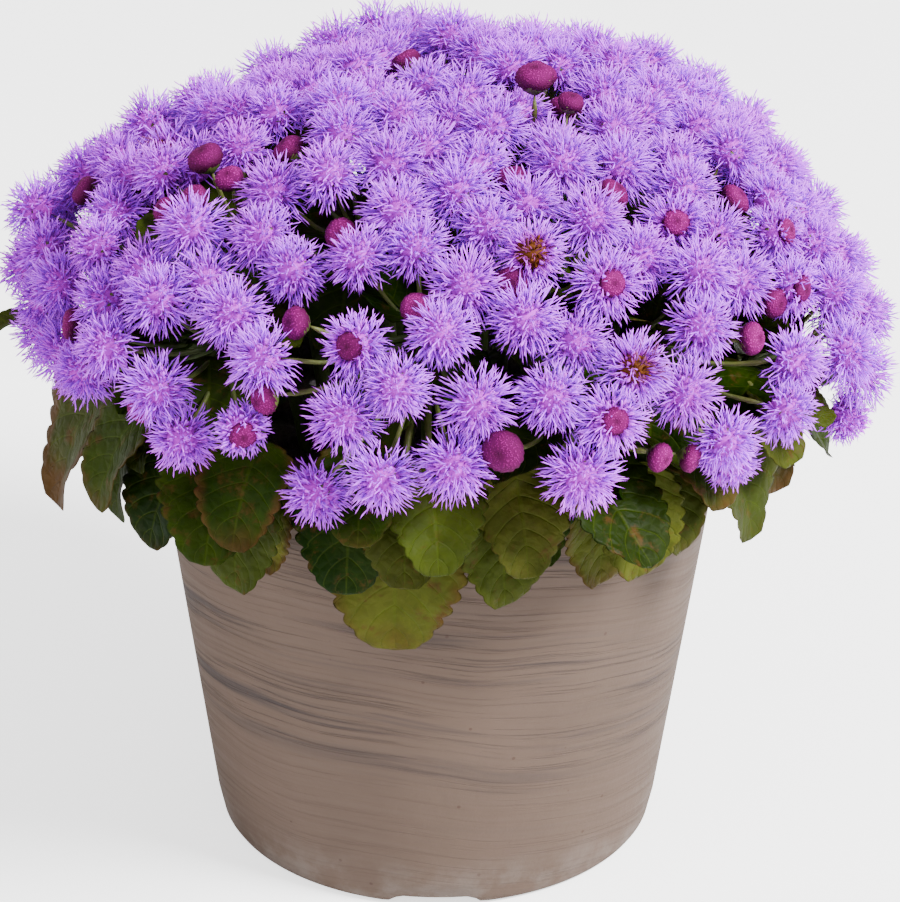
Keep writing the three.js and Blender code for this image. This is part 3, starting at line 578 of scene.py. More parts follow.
def per_ring(shape, along, start, end):
    """A number for each corner of the skins: one value for each ring, and one for each end."""
    count, levels, sides = shape["size"]
    ring = np.repeat(np.broadcast_to(along, (count, levels)), sides, axis=1)
    ends = np.broadcast_to(np.array([start, end], float), (count, 2))
    return np.concatenate([ring, ends], 1).ravel()


def per_skin(shape, values):
    """A number for each corner of the skins: the same all over each skin."""
    return np.repeat(values, shape["size"][1] * shape["size"][2] + 2)


def block(shape, slot, layout, **numbers):
    """One lot of faces: its shape, the material it has, its map and its numbers."""
    return {**shape, "slot": slot, "map": layout, "numbers": numbers}


def make_piece(name, blocks, materials, replaced):
    """Joins blocks into one mesh object at the origin, in metres, with its map, numbers and materials."""
    starts = np.cumsum([0] + [len(b["corners"]) for b in blocks])
    corners = np.concatenate([b["corners"] for b in blocks]) * METRES
    kinds = ("quads", "triangles")
    faces = [(b[kind] + start, b["slot"]) for kind in kinds for b, start in zip(blocks, starts)]
    loops = np.concatenate([face.ravel() for face, _ in faces]).astype(np.int32)
    totals = np.concatenate([np.full(len(face), face.shape[1]) for face, _ in faces])
    materials_of = np.concatenate([np.full(len(face), material) for face, material in faces])
    mesh = bpy.data.meshes.new(name)
    mesh.vertices.add(len(corners))
    mesh.vertices.foreach_set("co", corners.astype(np.float32).ravel())
    mesh.loops.add(len(loops))
    mesh.loops.foreach_set("vertex_index", loops)
    mesh.polygons.add(len(totals))
    mesh.polygons.foreach_set("loop_start", np.append(0, np.cumsum(totals)[:-1]).astype(np.int32))
    mesh.polygons.foreach_set("material_index", materials_of.astype(np.int32))
    mesh.polygons.foreach_set("use_smooth", np.ones(len(totals), bool))
    layout = np.concatenate([b["map"] for b in blocks])[loops]
    mesh.uv_layers.new(name=MAP).data.foreach_set("uv", layout.astype(np.float32).ravel())
    for key in sorted({key for b in blocks for key in b["numbers"]}):
        values = [np.zeros(len(b["corners"])) + b["numbers"].get(key, 0) for b in blocks]
        attribute = mesh.attributes.new(key, "FLOAT", "POINT")
        attribute.data.foreach_set("value", np.concatenate(values).astype(np.float32))
    for material in materials:
        mesh.materials.append(material)
    mesh.update(calc_edges=True)
    if mesh.validate():
        raise RuntimeError(f"{name} had faces that Blender had to drop")
    piece = bpy.data.objects.new(name, mesh)
    bpy.context.scene.collection.objects.link(piece)
    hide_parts(replaced)
    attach(piece, BODY)
    return piece


# ---- materials ----------------------------------------------------------------------------------------
def put(tree, kind, inputs=None, **settings):
    """Adds a node with its settings and inputs, each a value or another node's output."""
    made = tree.nodes.new(kind)
    for key, value in settings.items():
        setattr(made, key, value)
    for key, value in (inputs or {}).items():
        if isinstance(value, bpy.types.NodeSocket):
            tree.links.new(value, made.inputs[key])
        else:
            made.inputs[key].default_value = value
    return made


def tree_of(*values):
    """The node tree of the first of these values that is a node's output."""
    return next(value.id_data for value in values if isinstance(value, bpy.types.NodeSocket))


def maths(operation, *values):
    """The result of a Math node."""
    return put(tree_of(*values), "ShaderNodeMath", dict(enumerate(values)), operation=operation).outputs[0]


def times(first, second):
    """One value times another."""
    return maths("MULTIPLY", first, second)


def times_plus(value, factor, more):
    """A value times a factor, plus more."""
    return maths("MULTIPLY_ADD", value, factor, more)


def blend(share, first, second, kind="MIX"):
    """The result of a colour Mix node, where share 1 gives the second."""
    tree, inputs = tree_of(share, first, second), {0: share, 6: first, 7: second}
    return put(tree, "ShaderNodeMix", inputs, data_type="RGBA", blend_type=kind).outputs[2]


def lighten(colour, light):
    """A colour times a value."""
    grey = put(tree_of(light), "ShaderNodeCombineColor", {0: light, 1: light, 2: light}).outputs[0]
    return blend(1.0, colour, grey, "MULTIPLY")


def between(value, low, high, to_low=0.0, to_high=1.0):
    """A value from low to high, smoothly, as one from to_low to to_high."""
    inputs = {"Value": value, "From Min": low, "From Max": high, "To Min": to_low, "To Max": to_high}
    return put(tree_of(value), "ShaderNodeMapRange", inputs, interpolation_type="SMOOTHSTEP").outputs[0]


def noise(place, scale, detail, roughness, distortion=0.0):
    """The value of a Noise node."""
    inputs = {"Vector": place, "Scale": scale, "Detail": detail, "Roughness": roughness,
              "Distortion": distortion}
    return put(tree_of(place), "ShaderNodeTexNoise", inputs).outputs[0]


def cells_of(place, scale, **settings):
    """The outputs of a Voronoi node."""
    return put(tree_of(place), "ShaderNodeTexVoronoi", {"Vector": place, "Scale": scale}, **settings).outputs


def number(tree, name):
    """A number that the mesh carries at each corner."""
    return put(tree, "ShaderNodeAttribute", attribute_name=name).outputs["Fac"]


def own_place(tree):
    """Object coordinates."""
    return put(tree, "ShaderNodeTexCoord").outputs["Object"]


def new_group(name, inputs, outputs):
    """An empty node group with named sockets: {name: (kind, default)} and {name: kind}."""
    tree = bpy.data.node_groups.new(name, "ShaderNodeTree")
    for socket, (kind, default) in inputs.items():
        tree.interface.new_socket(socket, in_out="INPUT", socket_type=kind).default_value = default
    for socket, kind in outputs.items():
        tree.interface.new_socket(socket, in_out="OUTPUT", socket_type=kind)
    return tree, tree.nodes.new("NodeGroupInput").outputs, tree.nodes.new("NodeGroupOutput").inputs


def use(tree, name, build, inputs):
    """Places the node group of that name, built on its first use, and returns its outputs."""
    placed = bpy.data.node_groups.get(name) or build(name)
    return put(tree, "ShaderNodeGroup", inputs, node_tree=placed).outputs


COLOUR, VALUE, VECTOR = "NodeSocketColor", "NodeSocketFloat", "NodeSocketVector"


def build_mottle(name):
    """Group: a colour made lighter and darker in soft patches, and the height of fine grain."""
    inputs = {"Colour": (COLOUR, WHITE), "Place": (VECTOR, (0, 0, 0)), "Scale": (VALUE, 100.0),
              "Depth": (VALUE, 0.3)}
    tree, given, out = new_group(name, inputs, {"Colour": COLOUR, "Grain": VALUE})
    patches = noise(given["Place"], given["Scale"], 4.0, 0.6)
    change = times(maths("SUBTRACT", patches, 0.5), given["Depth"])
    tree.links.new(lighten(given["Colour"], times_plus(change, 2.0, 1.0)), out["Colour"])
    # the grain is nine times finer than the patches
    tree.links.new(noise(given["Place"], times(given["Scale"], 9.0), 3.0, 0.6), out["Grain"])
    return tree


def mottle(colour, place, scale, depth):
    """The mottle group's outputs."""
    inputs = {"Colour": colour, "Place": place, "Scale": scale, "Depth": depth}
    return use(tree_of(place), "mottle", build_mottle, inputs)


def build_fade(name):
    """Group: a floret's colour from its root to its tip, blushed and withered by its head."""
    inputs = {key: (COLOUR, WHITE) for key in ("Root", "Middle", "Tip", "Blush", "Rust")}
    tree, given, out = new_group(name, {**inputs, "Variation": (VALUE, 0.2)}, {"Colour": COLOUR})
    along, shade = number(tree, "along"), number(tree, "shade")
    # a darker root colour given here paints shade deep in a head or a bud
    lower = blend(between(along, 0.0, 0.45), given["Root"], given["Middle"])
    upper = blend(between(along, 0.4, 1.0), lower, given["Tip"])
    blushed = blend(number(tree, "blush"), upper, given["Blush"])
    rusty = blend(number(tree, "withered"), blushed, given["Rust"])
    light = times_plus(maths("SUBTRACT", shade, 0.5), given["Variation"], 1.0)
    tree.links.new(lighten(rusty, light), out["Colour"])
    return tree


def fade(tree, settings, root, middle, tip, variation):
    """The fade group's colour."""
    inputs = {"Root": root, "Middle": middle, "Tip": tip, "Blush": settings.blush_colour,
              "Rust": settings.withered_colour, "Variation": variation}
    return use(tree, "floret fade", build_fade, inputs)["Colour"]


def blank(name):
    """A new material, its tree and its shader."""
    material = bpy.data.materials.new(name)
    material.use_nodes = True
    tree = material.node_tree
    return material, tree, tree.nodes["Principled BSDF"]


def finish_shader(shader, colour, roughness, height=None, depth=0.0, specular=0.5):
    """Wires colour, roughness and relief into a Principled shader, and sets how strongly it mirrors."""
    tree = shader.id_data
    tree.links.new(colour, shader.inputs["Base Color"])
    if isinstance(roughness, bpy.types.NodeSocket):
        tree.links.new(roughness, shader.inputs["Roughness"])
    else:
        shader.inputs["Roughness"].default_value = roughness
    if height is not None:
        bump = put(tree, "ShaderNodeBump", {"Height": height, "Distance": depth, "Strength": 1.0})
        tree.links.new(bump.outputs[0], shader.inputs["Normal"])
    shader.inputs["Specular IOR Level"].default_value = specular


def thread_material(settings):
    """The heads' threads: rosy violet inside, darkened there by painted shade, lilac at the tips, some rusty.
    """
    material, tree, shader = blank("ageratum_threads")
    colour = fade(tree, settings, settings.mauve_and_shade_root_colour, settings.thread_colour, settings.tip_colour, 0.5)
    finish_shader(shader, colour, between(number(tree, "shade"), 0.0, 1.0, 0.5, 0.7), specular=0.06)
    return material


def bud_material(settings):
    """Closed florets, packed like fine beads that stand out: rosy on top, and rougher between, where painted
    shade darkens the gaps, as it does the bud's underside and the hollow on its top.
    """
    material, tree, shader = blank("ageratum_buds")
    colour = fade(tree, settings, settings.shaded_bud_colour, settings.shaded_bud_colour, settings.bead_colour, 0.7)
    top = between(cells_of(own_place(tree), CELLS["beads"])[0], 0.12, 0.55, 1.0, 0.0)
    # painted shade: the gaps between the beads take the darker bud colour
    beads_and_shaded_gaps = blend(between(top, 0.0, 0.8, 0.3, 1.0), settings.shaded_bud_colour, colour)
    finish_shader(shader, beads_and_shaded_gaps, between(top, 0.0, 1.0, 0.75, 0.55), top, RELIEF["beads"], 0.08)
    return material


def stalk_material(settings):
    """Green stalks, mottled and finely grained, paler toward the flowers."""
    material, tree, shader = blank("ageratum_stalk")
    paler = between(number(tree, "along"), 0.2, 1.0, 0.0, 0.5)
    tint = blend(paler, settings.stalk_colour, settings.fresh_colour)
    mottled = mottle(tint, own_place(tree), CELLS["stalk"], 0.7)
    finish_shader(shader, mottled["Colour"], 0.6, mottled["Grain"], RELIEF["stalk"])
    return material


def leaf_material(settings):
    """Leaf blades: pale ribs, a net of fine veins that the blade bulges between, lighter patches, brown
    spots, and rust that creeps in from the edge."""
    material, tree, shader = blank("ageratum_leaf")
    place = own_place(tree)
    along, across = number(tree, "along"), maths("ABSOLUTE", number(tree, "across"))
    # side ribs leave the midrib at even steps and sweep toward the tip
    swept = maths("SUBTRACT", along, times(maths("POWER", across, RIBS["bend"]), RIBS["sweep"]))
    step = maths("PINGPONG", times(maths("ADD", swept, RIBS["first"]), RIBS["count"]), 0.5)
    ribs = between(step, 0.01, maths("SUBTRACT", 0.09, times(across, 0.02)), 1.0, 0.0)
    midrib = between(across, 0.012, 0.06, 1.0, 0.0)
    net = cells_of(place, CELLS["net"], feature="DISTANCE_TO_EDGE")[0]
    # the blade domes up between the side ribs, and again in each cell of the net
    quilt = times_plus(between(net, 0.0, 0.42), 0.55, maths("POWER", step, 0.6))
    fine = between(net, 0.0, 0.09, 1.0, 0.0)
    veins = maths("MAXIMUM", maths("MAXIMUM", ribs, midrib), times(fine, 0.2))
    base = blend(number(tree, "yellow"), settings.leaf_colour, settings.fresh_colour)
    patch = noise(place, CELLS["patches"], 4.0, 0.6)
    base = blend(between(patch, 0.35, 0.75, 0.0, 0.55), base, settings.young_colour)
    base = blend(times(number(tree, "shade"), 0.55), base, SHADY_GREEN)
    veined = blend(times(veins, 0.22), base, settings.vein_colour)
    spots = between(noise(place, CELLS["spots"], 4.0, 0.72), 0.54, 0.7, 0.0, 0.75)
    veined = blend(spots, veined, settings.rust_colour)
    edge = between(maths("MAXIMUM", across, times(along, 0.96)), 0.5, 1.05)
    ragged = times(edge, times_plus(noise(place, CELLS["edge"], 4.0, 0.65), 1.6, 0.1))
    rust = between(times(ragged, maths("ADD", number(tree, "rust"), 0.1)), 0.12, 0.55)
    rusty = blend(rust, veined, settings.rust_colour)
    mottled = mottle(rusty, place, CELLS["leaf"], 0.5)
    bulge = times_plus(mottled["Grain"], 0.2, times_plus(veins, -0.25, quilt))
    rough = between(patch, 0.3, 0.7, 0.42, 0.6)
    finish_shader(shader, mottled["Colour"], rough, bulge, RELIEF["leaf"], 0.04)
    return material


def pot_material(settings):
    """Marbled clay: fine grain and darker streaks that lean a little and wave slowly round the wall, a few
    specks, and a chalky bloom toward the foot."""
    material, tree, shader = blank("ageratum_pot_clay")
    place = own_place(tree)
    x, y, z = put(tree, "ShaderNodeSeparateXYZ", {0: place}).outputs
    level = maths("ADD", z, LEANING["shift"])
    leaning = times_plus(y, LEANING["back"], times_plus(x, LEANING["right"], level))
    slow = noise(place, CELLS["wander"], 2.0, 0.5)
    sway = times_plus(maths("SUBTRACT", slow, 0.5), LEANING["wave"], leaning)

    def streaks(round_scale, up_scale, detail, rough, distortion):
        """Noise drawn out along the streaks."""
        stretched = {0: times(x, round_scale), 1: times(y, round_scale), 2: times(sway, up_scale)}
        vector = put(tree, "ShaderNodeCombineXYZ", stretched).outputs[0]
        return noise(vector, 1.0, detail, rough, distortion)

    grain, bands, veins = (streaks(*STREAKS[key]) for key in ("grain", "bands", "veins"))
    band = times(between(bands, 0.46, 0.6), between(z, 0.018, 0.045, 0.15, 1.0))
    dark = times(between(veins, 0.5, 0.66), band)
    fine = times(between(grain, 0.53, 0.64), times_plus(band, 0.7, 0.22))
    mottled = mottle(settings.clay_colour, place, CELLS["clay"], 0.16)
    base = blend(times(dark, settings.streak_share), mottled["Colour"], settings.streak_colour)
    base = blend(times(fine, settings.grain_share), base, settings.streak_colour)
    speck = between(cells_of(place, CELLS["specks"])[0], 0.045, 0.075, 0.6, 0.0)
    base = blend(speck, base, settings.speck_colour)
    dusty = between(noise(place, CELLS["chalk"], 5.0, 0.65), 0.4, 0.65)
    base = blend(times(between(z, 0.002, 0.014, 0.32, 0.0), dusty), base, settings.chalk_colour)
    height = maths("SUBTRACT", times(mottled["Grain"], 0.5), times(fine, 0.6))
    finish_shader(shader, base, between(grain, 0.3, 0.7, 0.62, 0.8), height, RELIEF["clay"], 0.2)
    return material


def soil_material():
    """Potting soil: dark crumbs and pale grains of perlite."""
    material, tree, shader = blank("ageratum_soil")
    place = own_place(tree)
    mottled = mottle(SOIL_BROWN, place, CELLS["soil"], 1.2)
    crumbs = cells_of(place, CELLS["crumbs"])
    tone = put(tree, "ShaderNodeSeparateColor", {0: crumbs["Color"]}).outputs[0]
    perlite = times(between(tone, 0.93, 0.95), between(crumbs[0], 0.2, 0.35, 1.0, 0.0))
    colour = blend(perlite, mottled["Colour"], PERLITE)
    finish_shader(shader, colour, between(tone, 0.0, 1.0, 0.85, 1.0), mottled["Grain"], RELIEF["soil"])
    return material


def floor_material(settings):
    """A plain pale floor, which looks brighter than it lights the plant."""
    material, tree, shader = blank("pale_floor")
    shader.inputs["Base Color"].default_value = settings.floor_colour
    shader.inputs["Roughness"].default_value = 0.9
    shader.inputs["Emission Color"].default_value = WHITE
    seen = put(tree, "ShaderNodeLightPath").outputs["Is Camera Ray"]
    tree.links.new(times(seen, settings.floor_glow), shader.inputs["Emission Strength"])
    return material


# ---- blooms -------------------------------------------------------------------------------------------
def florets(blooms, picked, count, copies, stray, seed):
    """For each head, count ways spread by a golden spiral round its axis, each taken copies times and
    strayed a little. A young head's crown stays free. Returns the ways, how high each stands on its head as
    a sine, its head's number and its own."""
    j = np.arange(count)
    height = 1 + (FAN["low"] - 1) * (j + 0.5) / count
    axis = blooms["axis"][picked][:, None]
    flat = aside(axis, (blooms["spin"][picked] + seed)[:, None] + j * GOLDEN)
    ways = axis * height[None, :, None] + flat * np.sqrt(np.maximum(0, 1 - height**2))[None, :, None]
    ways = np.repeat(ways.reshape(-1, 3), copies, axis=0)
    height = np.repeat(np.tile(height, len(picked)), copies)
    head = np.repeat(np.arange(len(picked)), copies * count)
    i = np.arange(len(head)) + 1000.0 * seed
    hand = (i % copies * 2 - 1)[:, None] * (copies > 1)
    apart = THREAD["parting"] * hand * aside(ways, 2 * np.pi * draw(i // copies, 30))
    ways = unit(ways + apart + stray * np.stack([swing(i, 31), swing(i, 32), swing(i, 33)], -1))
    kept = (blooms["young"][picked][head] == 0) | (height < FAN["young"])
    return ways[kept], height[kept], head[kept], i[kept]


def thread_shapes(blooms, picked, settings, count, kind, seed):
    """The threads, two to a floret. A pair leaves the head together and parts. Each one leans aside by
    t^2 - back t, where t is the share of its length, and sways across that by the sine of three quarters of
    a turn. The short ones belong to florets that have only just opened."""
    ways, height, head, i = florets(blooms, picked, count // 2, 2, THREAD["stray"], seed)
    bloom = picked[head]
    short = draw(i, 34) < settings.short_share
    length = np.empty(len(ways))
    for k, b in enumerate(picked):
        mine = head == k
        longest = blooms["radius"][b] * (THREAD["length"] + THREAD["vary"] * swing(i[mine], 35))
        longest = longest * (1 - THREAD["crown"] * np.maximum(0, height[mine]) ** 2)
        length[mine] = reach(blooms, b, ways[mine], longest, settings.overlap / METRES)
    length = np.maximum(length, THREAD["least"]) * np.where(short, THREAD["short"], 1)
    grown = (length - THREAD["start"])[:, None]
    side = aside(ways, 2 * np.pi * draw(i, 36))
    lean = side * (THREAD["lean"] + THREAD["more"] * draw(i, 37)[:, None])
    lean = (lean + np.array([0, 0, -THREAD["hang"]]) * draw(i, 38)[:, None]) * (grown / THREAD["over"])
    sway = THREAD["sway"] * swing(i, 39)[:, None] * np.cross(ways, side)
    t = np.array(kind["rings"])
    along = t[None, :, None]
    path = blooms["centre"][bloom][:, None] + ways[:, None] * (THREAD["start"] + grown[:, None] * along)
    path = path + lean[:, None] * (along**2 - THREAD["back"] * along)
    path = path + sway[:, None] * np.sin(1.5 * np.pi * along)
    shape = tubes(path, settings.thread_width / METRES / 2 * np.array(kind["thick"]), 3)
    blush = np.where(short, TINT["short"], TINT["crown"] * np.maximum(0, height) * draw(bloom, 42))
    dry = blooms["withered"][bloom] * (height > TINT["threads"]) * TINT["withered"]
    return shape, {
        "along": per_ring(shape, t[1:-1], 0, 1),
        "shade": per_skin(shape, TINT["own"] * draw(i, 40) + (1 - TINT["own"]) * draw(bloom, 41)),
        "blush": per_skin(shape, blush),
        "withered": per_skin(shape, dry),
    }


def tube_shapes(blooms, picked, settings, seed):
    """The florets' tubes: stubby rosy clubs that pack the middle of each head between its threads."""
    ways, height, head, i = florets(blooms, picked, settings.tubes, 1, TUBE["stray"], seed)
    bloom = picked[head]
    centre = blooms["centre"][bloom]
    far = (TUBE["end"] + TUBE["vary"] * swing(i, 48))[:, None]
    path = straight(centre + TUBE["start"] * ways, centre + far * ways, TUBE["rings"])
    thick = TUBE["thick"] * (1 + TUBE["uneven"] * swing(i, 49))
    shape = tubes(path, thick[:, None] * np.array([0, 1, 0]), 3)
    return shape, {
        "along": per_ring(shape, TUBE["along"], 0, TUBE["tip"]),
        "shade": per_skin(shape, draw(i, 50)),
        "blush": per_skin(shape, TUBE["blush"][0] + TUBE["blush"][1] * draw(i, 51)),
        "withered": per_skin(shape, blooms["withered"][bloom] * (height > TINT["tubes"])),
    }


def core_shapes(blooms, picked):
    """A ball under the florets of each head."""
    axis, centre, radius = blooms["axis"][picked], blooms["centre"][picked], CORE["radius"]
    angle = np.pi * (np.arange(CORE["levels"]) + 1) / (CORE["levels"] + 1)
    rings = aside(axis[:, None], turns(CORE["sides"]))[:, None] * (radius * np.sin(angle))[:, None, None]
    rings = rings - axis[:, None, None] * (np.cos(angle) * radius)[:, None, None]
    shape = skins(rings + centre[:, None, None], centre - axis * radius, centre + axis * radius)
    dry = per_skin(shape, blooms["withered"][picked])
    return shape, {**CORE_TINT, "withered": dry}


def cup_shapes(blooms, picked):
    """The green cup of bracts behind each bloom: a bowl from the stalk to a rim cut into points."""
    axis, centre, sides = blooms["axis"][picked], blooms["centre"][picked], CUP["sides"]
    size = np.where(blooms["bud"][picked], button_radius(blooms, picked) * CUP["bud"], CUP["head"])
    flat = aside(axis[:, None], turns(sides))
    points = CUP["points"] * (np.arange(sides) % 2)
    rings = [
        size[:, None, None] * (flat * wide + axis[:, None] * (high + cut * points)[:, None])
        for wide, high, cut in CUP["rings"]
    ]
    ends = (centre - axis * size[:, None] * CUP[end] for end in ("behind", "inside"))
    shape = skins(np.stack(rings, 1) + centre[:, None, None], *ends)
    return shape, {"along": per_ring(shape, CUP["along"], 0, 0)}


def stalk_shapes(blooms, picked, knot):
    """Stalks from the spray's knot to each bloom, which leave the knot close together and bow outward."""
    t = np.linspace(0, 1, len(STALK["thick"]))
    axis, radius = blooms["axis"][picked], blooms["radius"][picked]
    back = np.where(blooms["bud"][picked], radius * STALK["bud"], STALK["head"])[:, None]
    end = blooms["centre"][picked] - axis * back
    start = np.broadcast_to(knot, end.shape)
    upward = np.array([0, 0, 1.0]) - axis * axis[:, 2:]
    bow = STALK["bow"] * np.linalg.norm(end - start, axis=1)[:, None] * upward
    path = straight(start, end, t) - bow[:, None] * np.sin(np.pi * t)[:, None]
    shape = tubes(path, STALK["thick"], STALK["sides"])
    return shape, {"along": per_ring(shape, t[1:-1], 0, 1)}


def button_radius(blooms, picked):
    """The radius of a bud's button."""
    return np.minimum(blooms["radius"][picked] * BUTTON["size"], BUTTON["largest"])


def button_shapes(blooms, picked):
    """Buttons, for buds and for the middles of young heads: a flattened ball whose top sinks by
    exp(-(distance from its middle)^2). Closed florets make it knobbly, as every other point of its grid
    stands out, and a product of sines makes it a little uneven."""
    young = ~blooms["bud"][picked]
    radius = np.where(young, DISC["radius"], button_radius(blooms, picked))
    flat = np.where(young, DISC["flat"], BUTTON["flat"])
    axis = blooms["axis"][picked]
    centre = blooms["centre"][picked] + axis * np.where(young, DISC["lift"], 0)[:, None]
    levels, sides = BUTTON["levels"], BUTTON["sides"]
    angle = np.pi * (np.arange(levels) + BUTTON["first"]) / (levels - 1 + 2 * BUTTON["first"])
    turn, wide, high = turns(sides), np.sin(angle), np.cos(angle)
    hollow = 1 - BUTTON["dimple"] * np.exp(-((wide / BUTTON["hollow"]) ** 2)) * (high < 0)
    up = np.broadcast_to((-high * hollow)[:, None], (levels, sides))
    local = np.stack([wide[:, None] * np.cos(turn), wide[:, None] * np.sin(turn), up], -1)
    waves = np.sin(3 * turn + 6 * draw(picked, 44)[:, None, None]) * np.sin(2 * angle)[:, None]
    grid = np.arange(levels)[:, None] + np.arange(sides)
    knob = 2 * (grid % 2) - 1 + swing(levels * grid + 900.0 * picked[:, None, None], 52)
    uneven = BUTTON["waves"] * waves + BUTTON["knobs"] * knob * wide[:, None]
    basis = np.stack([*square_to(axis), axis * flat[:, None]], 1)
    rings = (local[None] * (1 + uneven)[..., None]) @ basis[:, None] * radius[:, None, None, None]
    top = axis * (radius * flat)[:, None]
    rings, under = centre[:, None, None] + rings, centre - top * BUTTON["under"]
    shape = skins(rings, under, centre + top * (1 - BUTTON["dimple"]))
    # along stays low on the underside and in the hollow on top, where the darker bud colour paints shade
    along = np.clip(0.55 - 0.5 * high, 0, 1) * hollow**4
    return shape, {"along": per_ring(shape, along, 0, 0.5), "shade": per_skin(shape, draw(picked, 43))}


# ---- leaves -------------------------------------------------------------------------------------------
def blade_shapes(leaves, settings, levels):
    """Thin closed blades. Half the width is a power of sin(pi s^belly), cut by rounded teeth; the rib is an
    arc, both halves rise from it, wave along their edges, and are crinkled by a product of sines."""
    shares = np.arange(1, levels + 1) / levels
    s, columns = shares[:-1], BLADE["columns"]
    u = np.sin(np.pi / 2 * np.linspace(-1, 1, columns))
    u = np.concatenate([u, u[-2:0:-1]])
    face = np.repeat([1, -1], (columns, columns - 2))
    edge = np.abs(u)
    phase = leaves["phase"][:, None, None]
    teeth = settings.teeth * (1 - np.abs(np.sin(np.pi * BLADE["teeth"] * s)) ** BLADE["roundness"])
    outline = np.sin(np.pi * s ** LEAF["belly"]) ** (LEAF["blunt"] - BLADE["narrower"] * s**3)
    plain = LEAF["breadth"] * leaves["length"][:, None] / 2 * outline
    wide = plain * (BLADE["margin"] - teeth)
    x = u * (plain[..., None] + (wide - plain)[..., None] * edge ** BLADE["fringe"])
    wave = np.sin(phase + LEAF["waves"] * s[:, None] + LEAF["unlike"] * np.sign(u)) * edge ** BLADE["ripple"]
    first, second = (a * s[:, None] + k * phase + b * u for a, k, b in CRINKLES)
    crinkle = np.sin(first) * np.sin(second)
    crinkle = settings.crinkle / METRES * crinkle * (1 - edge**4) * np.sin(np.pi * s)[:, None]
    thick = BLADE["half"] * face * np.sqrt(np.maximum(0, 1 - edge**2))
    side = leaf_frames(leaves)[0]
    rib, normal = rib_points(leaves, shares)
    rise = np.abs(x) * math.sin(LEAF["fold"]) + LEAF["wave"] * BLADE["wave"] * wave + crinkle + thick
    rings = rib[:, :-1, None] + side[:, None, None] * (x * math.cos(LEAF["fold"]))[..., None]
    shape = skins(rings + normal[:, :-1, None] * rise[..., None], leaves["collar"], rib[:, -1])
    across = np.append(np.tile(u, levels - 1), [0, 0])
    return shape, blade_map(shape, face, u, s), {
        "along": per_ring(shape, s, 0, 1),
        "across": np.tile(across, len(leaves["length"])),
        "yellow": per_skin(shape, leaves["yellow"]),
        "shade": per_skin(shape, 0.5 + 0.5 * np.sin(7 * leaves["phase"])),
        "rust": per_skin(shape, leaves["rust"]),
    }


def whorl(axis, knot, seed):
    """The whorl of leaves below a spray, spread flat under its heads like a ruff."""
    i = np.arange(WHORL["count"]) + WHORL["count"] * seed
    out = aside(axis[None], 2 * np.pi * i / WHORL["count"] + WHORL["stray"] * swing(i, 71))
    tilt = np.radians(WHORL["tilt"][0] + WHORL["tilt"][1] * swing(i, 72))[:, None]
    above = (WHORL["above"][0] + WHORL["above"][1] * draw(i, 73))[:, None]
    return {
        "collar": knot + axis * above + out * WHORL["out"],
        "along": out * np.cos(tilt) + axis * np.sin(tilt),
        "length": WHORL["length"][0] + WHORL["length"][1] * swing(i, 74),
        "droop": WHORL["droop"][0] + WHORL["droop"][1] * draw(i, 75),
        "phase": WHORL["phase"] * draw(i, 76),
        "yellow": WHORL["yellow"] * draw(i, 77) ** 2,
        "rust": WHORL["rust"] * draw(i, 78),
    }


def petiole_shapes(leaves, stems):
    """Leaf stalks: from the middle of the stem to the start of the blade, arching upward by a sine."""
    t = np.linspace(0, 1, len(PETIOLE["thick"]))
    start = np.array([spaced(stems[k], [share])[0] for k, share in zip(leaves["stem"], leaves["share"])])
    end = leaves["collar"] + leaves["along"] * PETIOLE["inside"]
    arch = PETIOLE["arch"] * np.linalg.norm(end - start, axis=1)[:, None] * np.sin(np.pi * t)
    path = straight(start, end, t) + arch[..., None] * np.array([0, 0, 1.0])
    shape = tubes(path, PETIOLE["thick"], PETIOLE["sides"])
    return shape, {"along": per_ring(shape, t[1:-1], 0, 1)}


# ---- settings -----------------------------------------------------------------------------------------
def colour_setting(name, description, value):
    """A colour that a user may change."""
    return FloatVectorProperty(name=name, description=description, default=(*value, 1.0), size=4,
                               subtype="COLOR", min=0.0, max=1.0)


def factor_setting(name, description, value, most=1.0):
    """A number from 0 that a user may change."""
    return FloatProperty(name=name, description=description, default=value, min=0, max=most)


def unit_setting(name, description, value, unit="LENGTH", **more):
    """A length, power or angle that a user may change."""
    return FloatProperty(name=name, description=description, default=value, unit=unit, precision=5, **more)


def count_setting(name, description, value, least, most):
    """A number of things that a user may change."""
    return IntProperty(name=name, description=description, default=value, min=least, max=most)


class PotSettings(bpy.types.PropertyGroup):
    sides: count_setting("Sides", "Faces round the pot", 180, 24, 720)
    clay_colour: colour_setting("Clay", "Plain colour of the wall", (0.084, 0.0555, 0.0412))
    streak_colour: colour_setting("Streaks", "Colour of the marbling", (0.026, 0.020, 0.021))
    speck_colour: colour_setting("Specks", "Colour of the small specks", (0.045, 0.022, 0.014))
    chalk_colour: colour_setting("Chalk", "Colour of the bloom near the foot", (0.19, 0.165, 0.15))
    grain_share: factor_setting("Grain", "Strength of the fine grain", 0.34)
    streak_share: factor_setting("Marbling", "Strength of the dark streaks", 0.8)


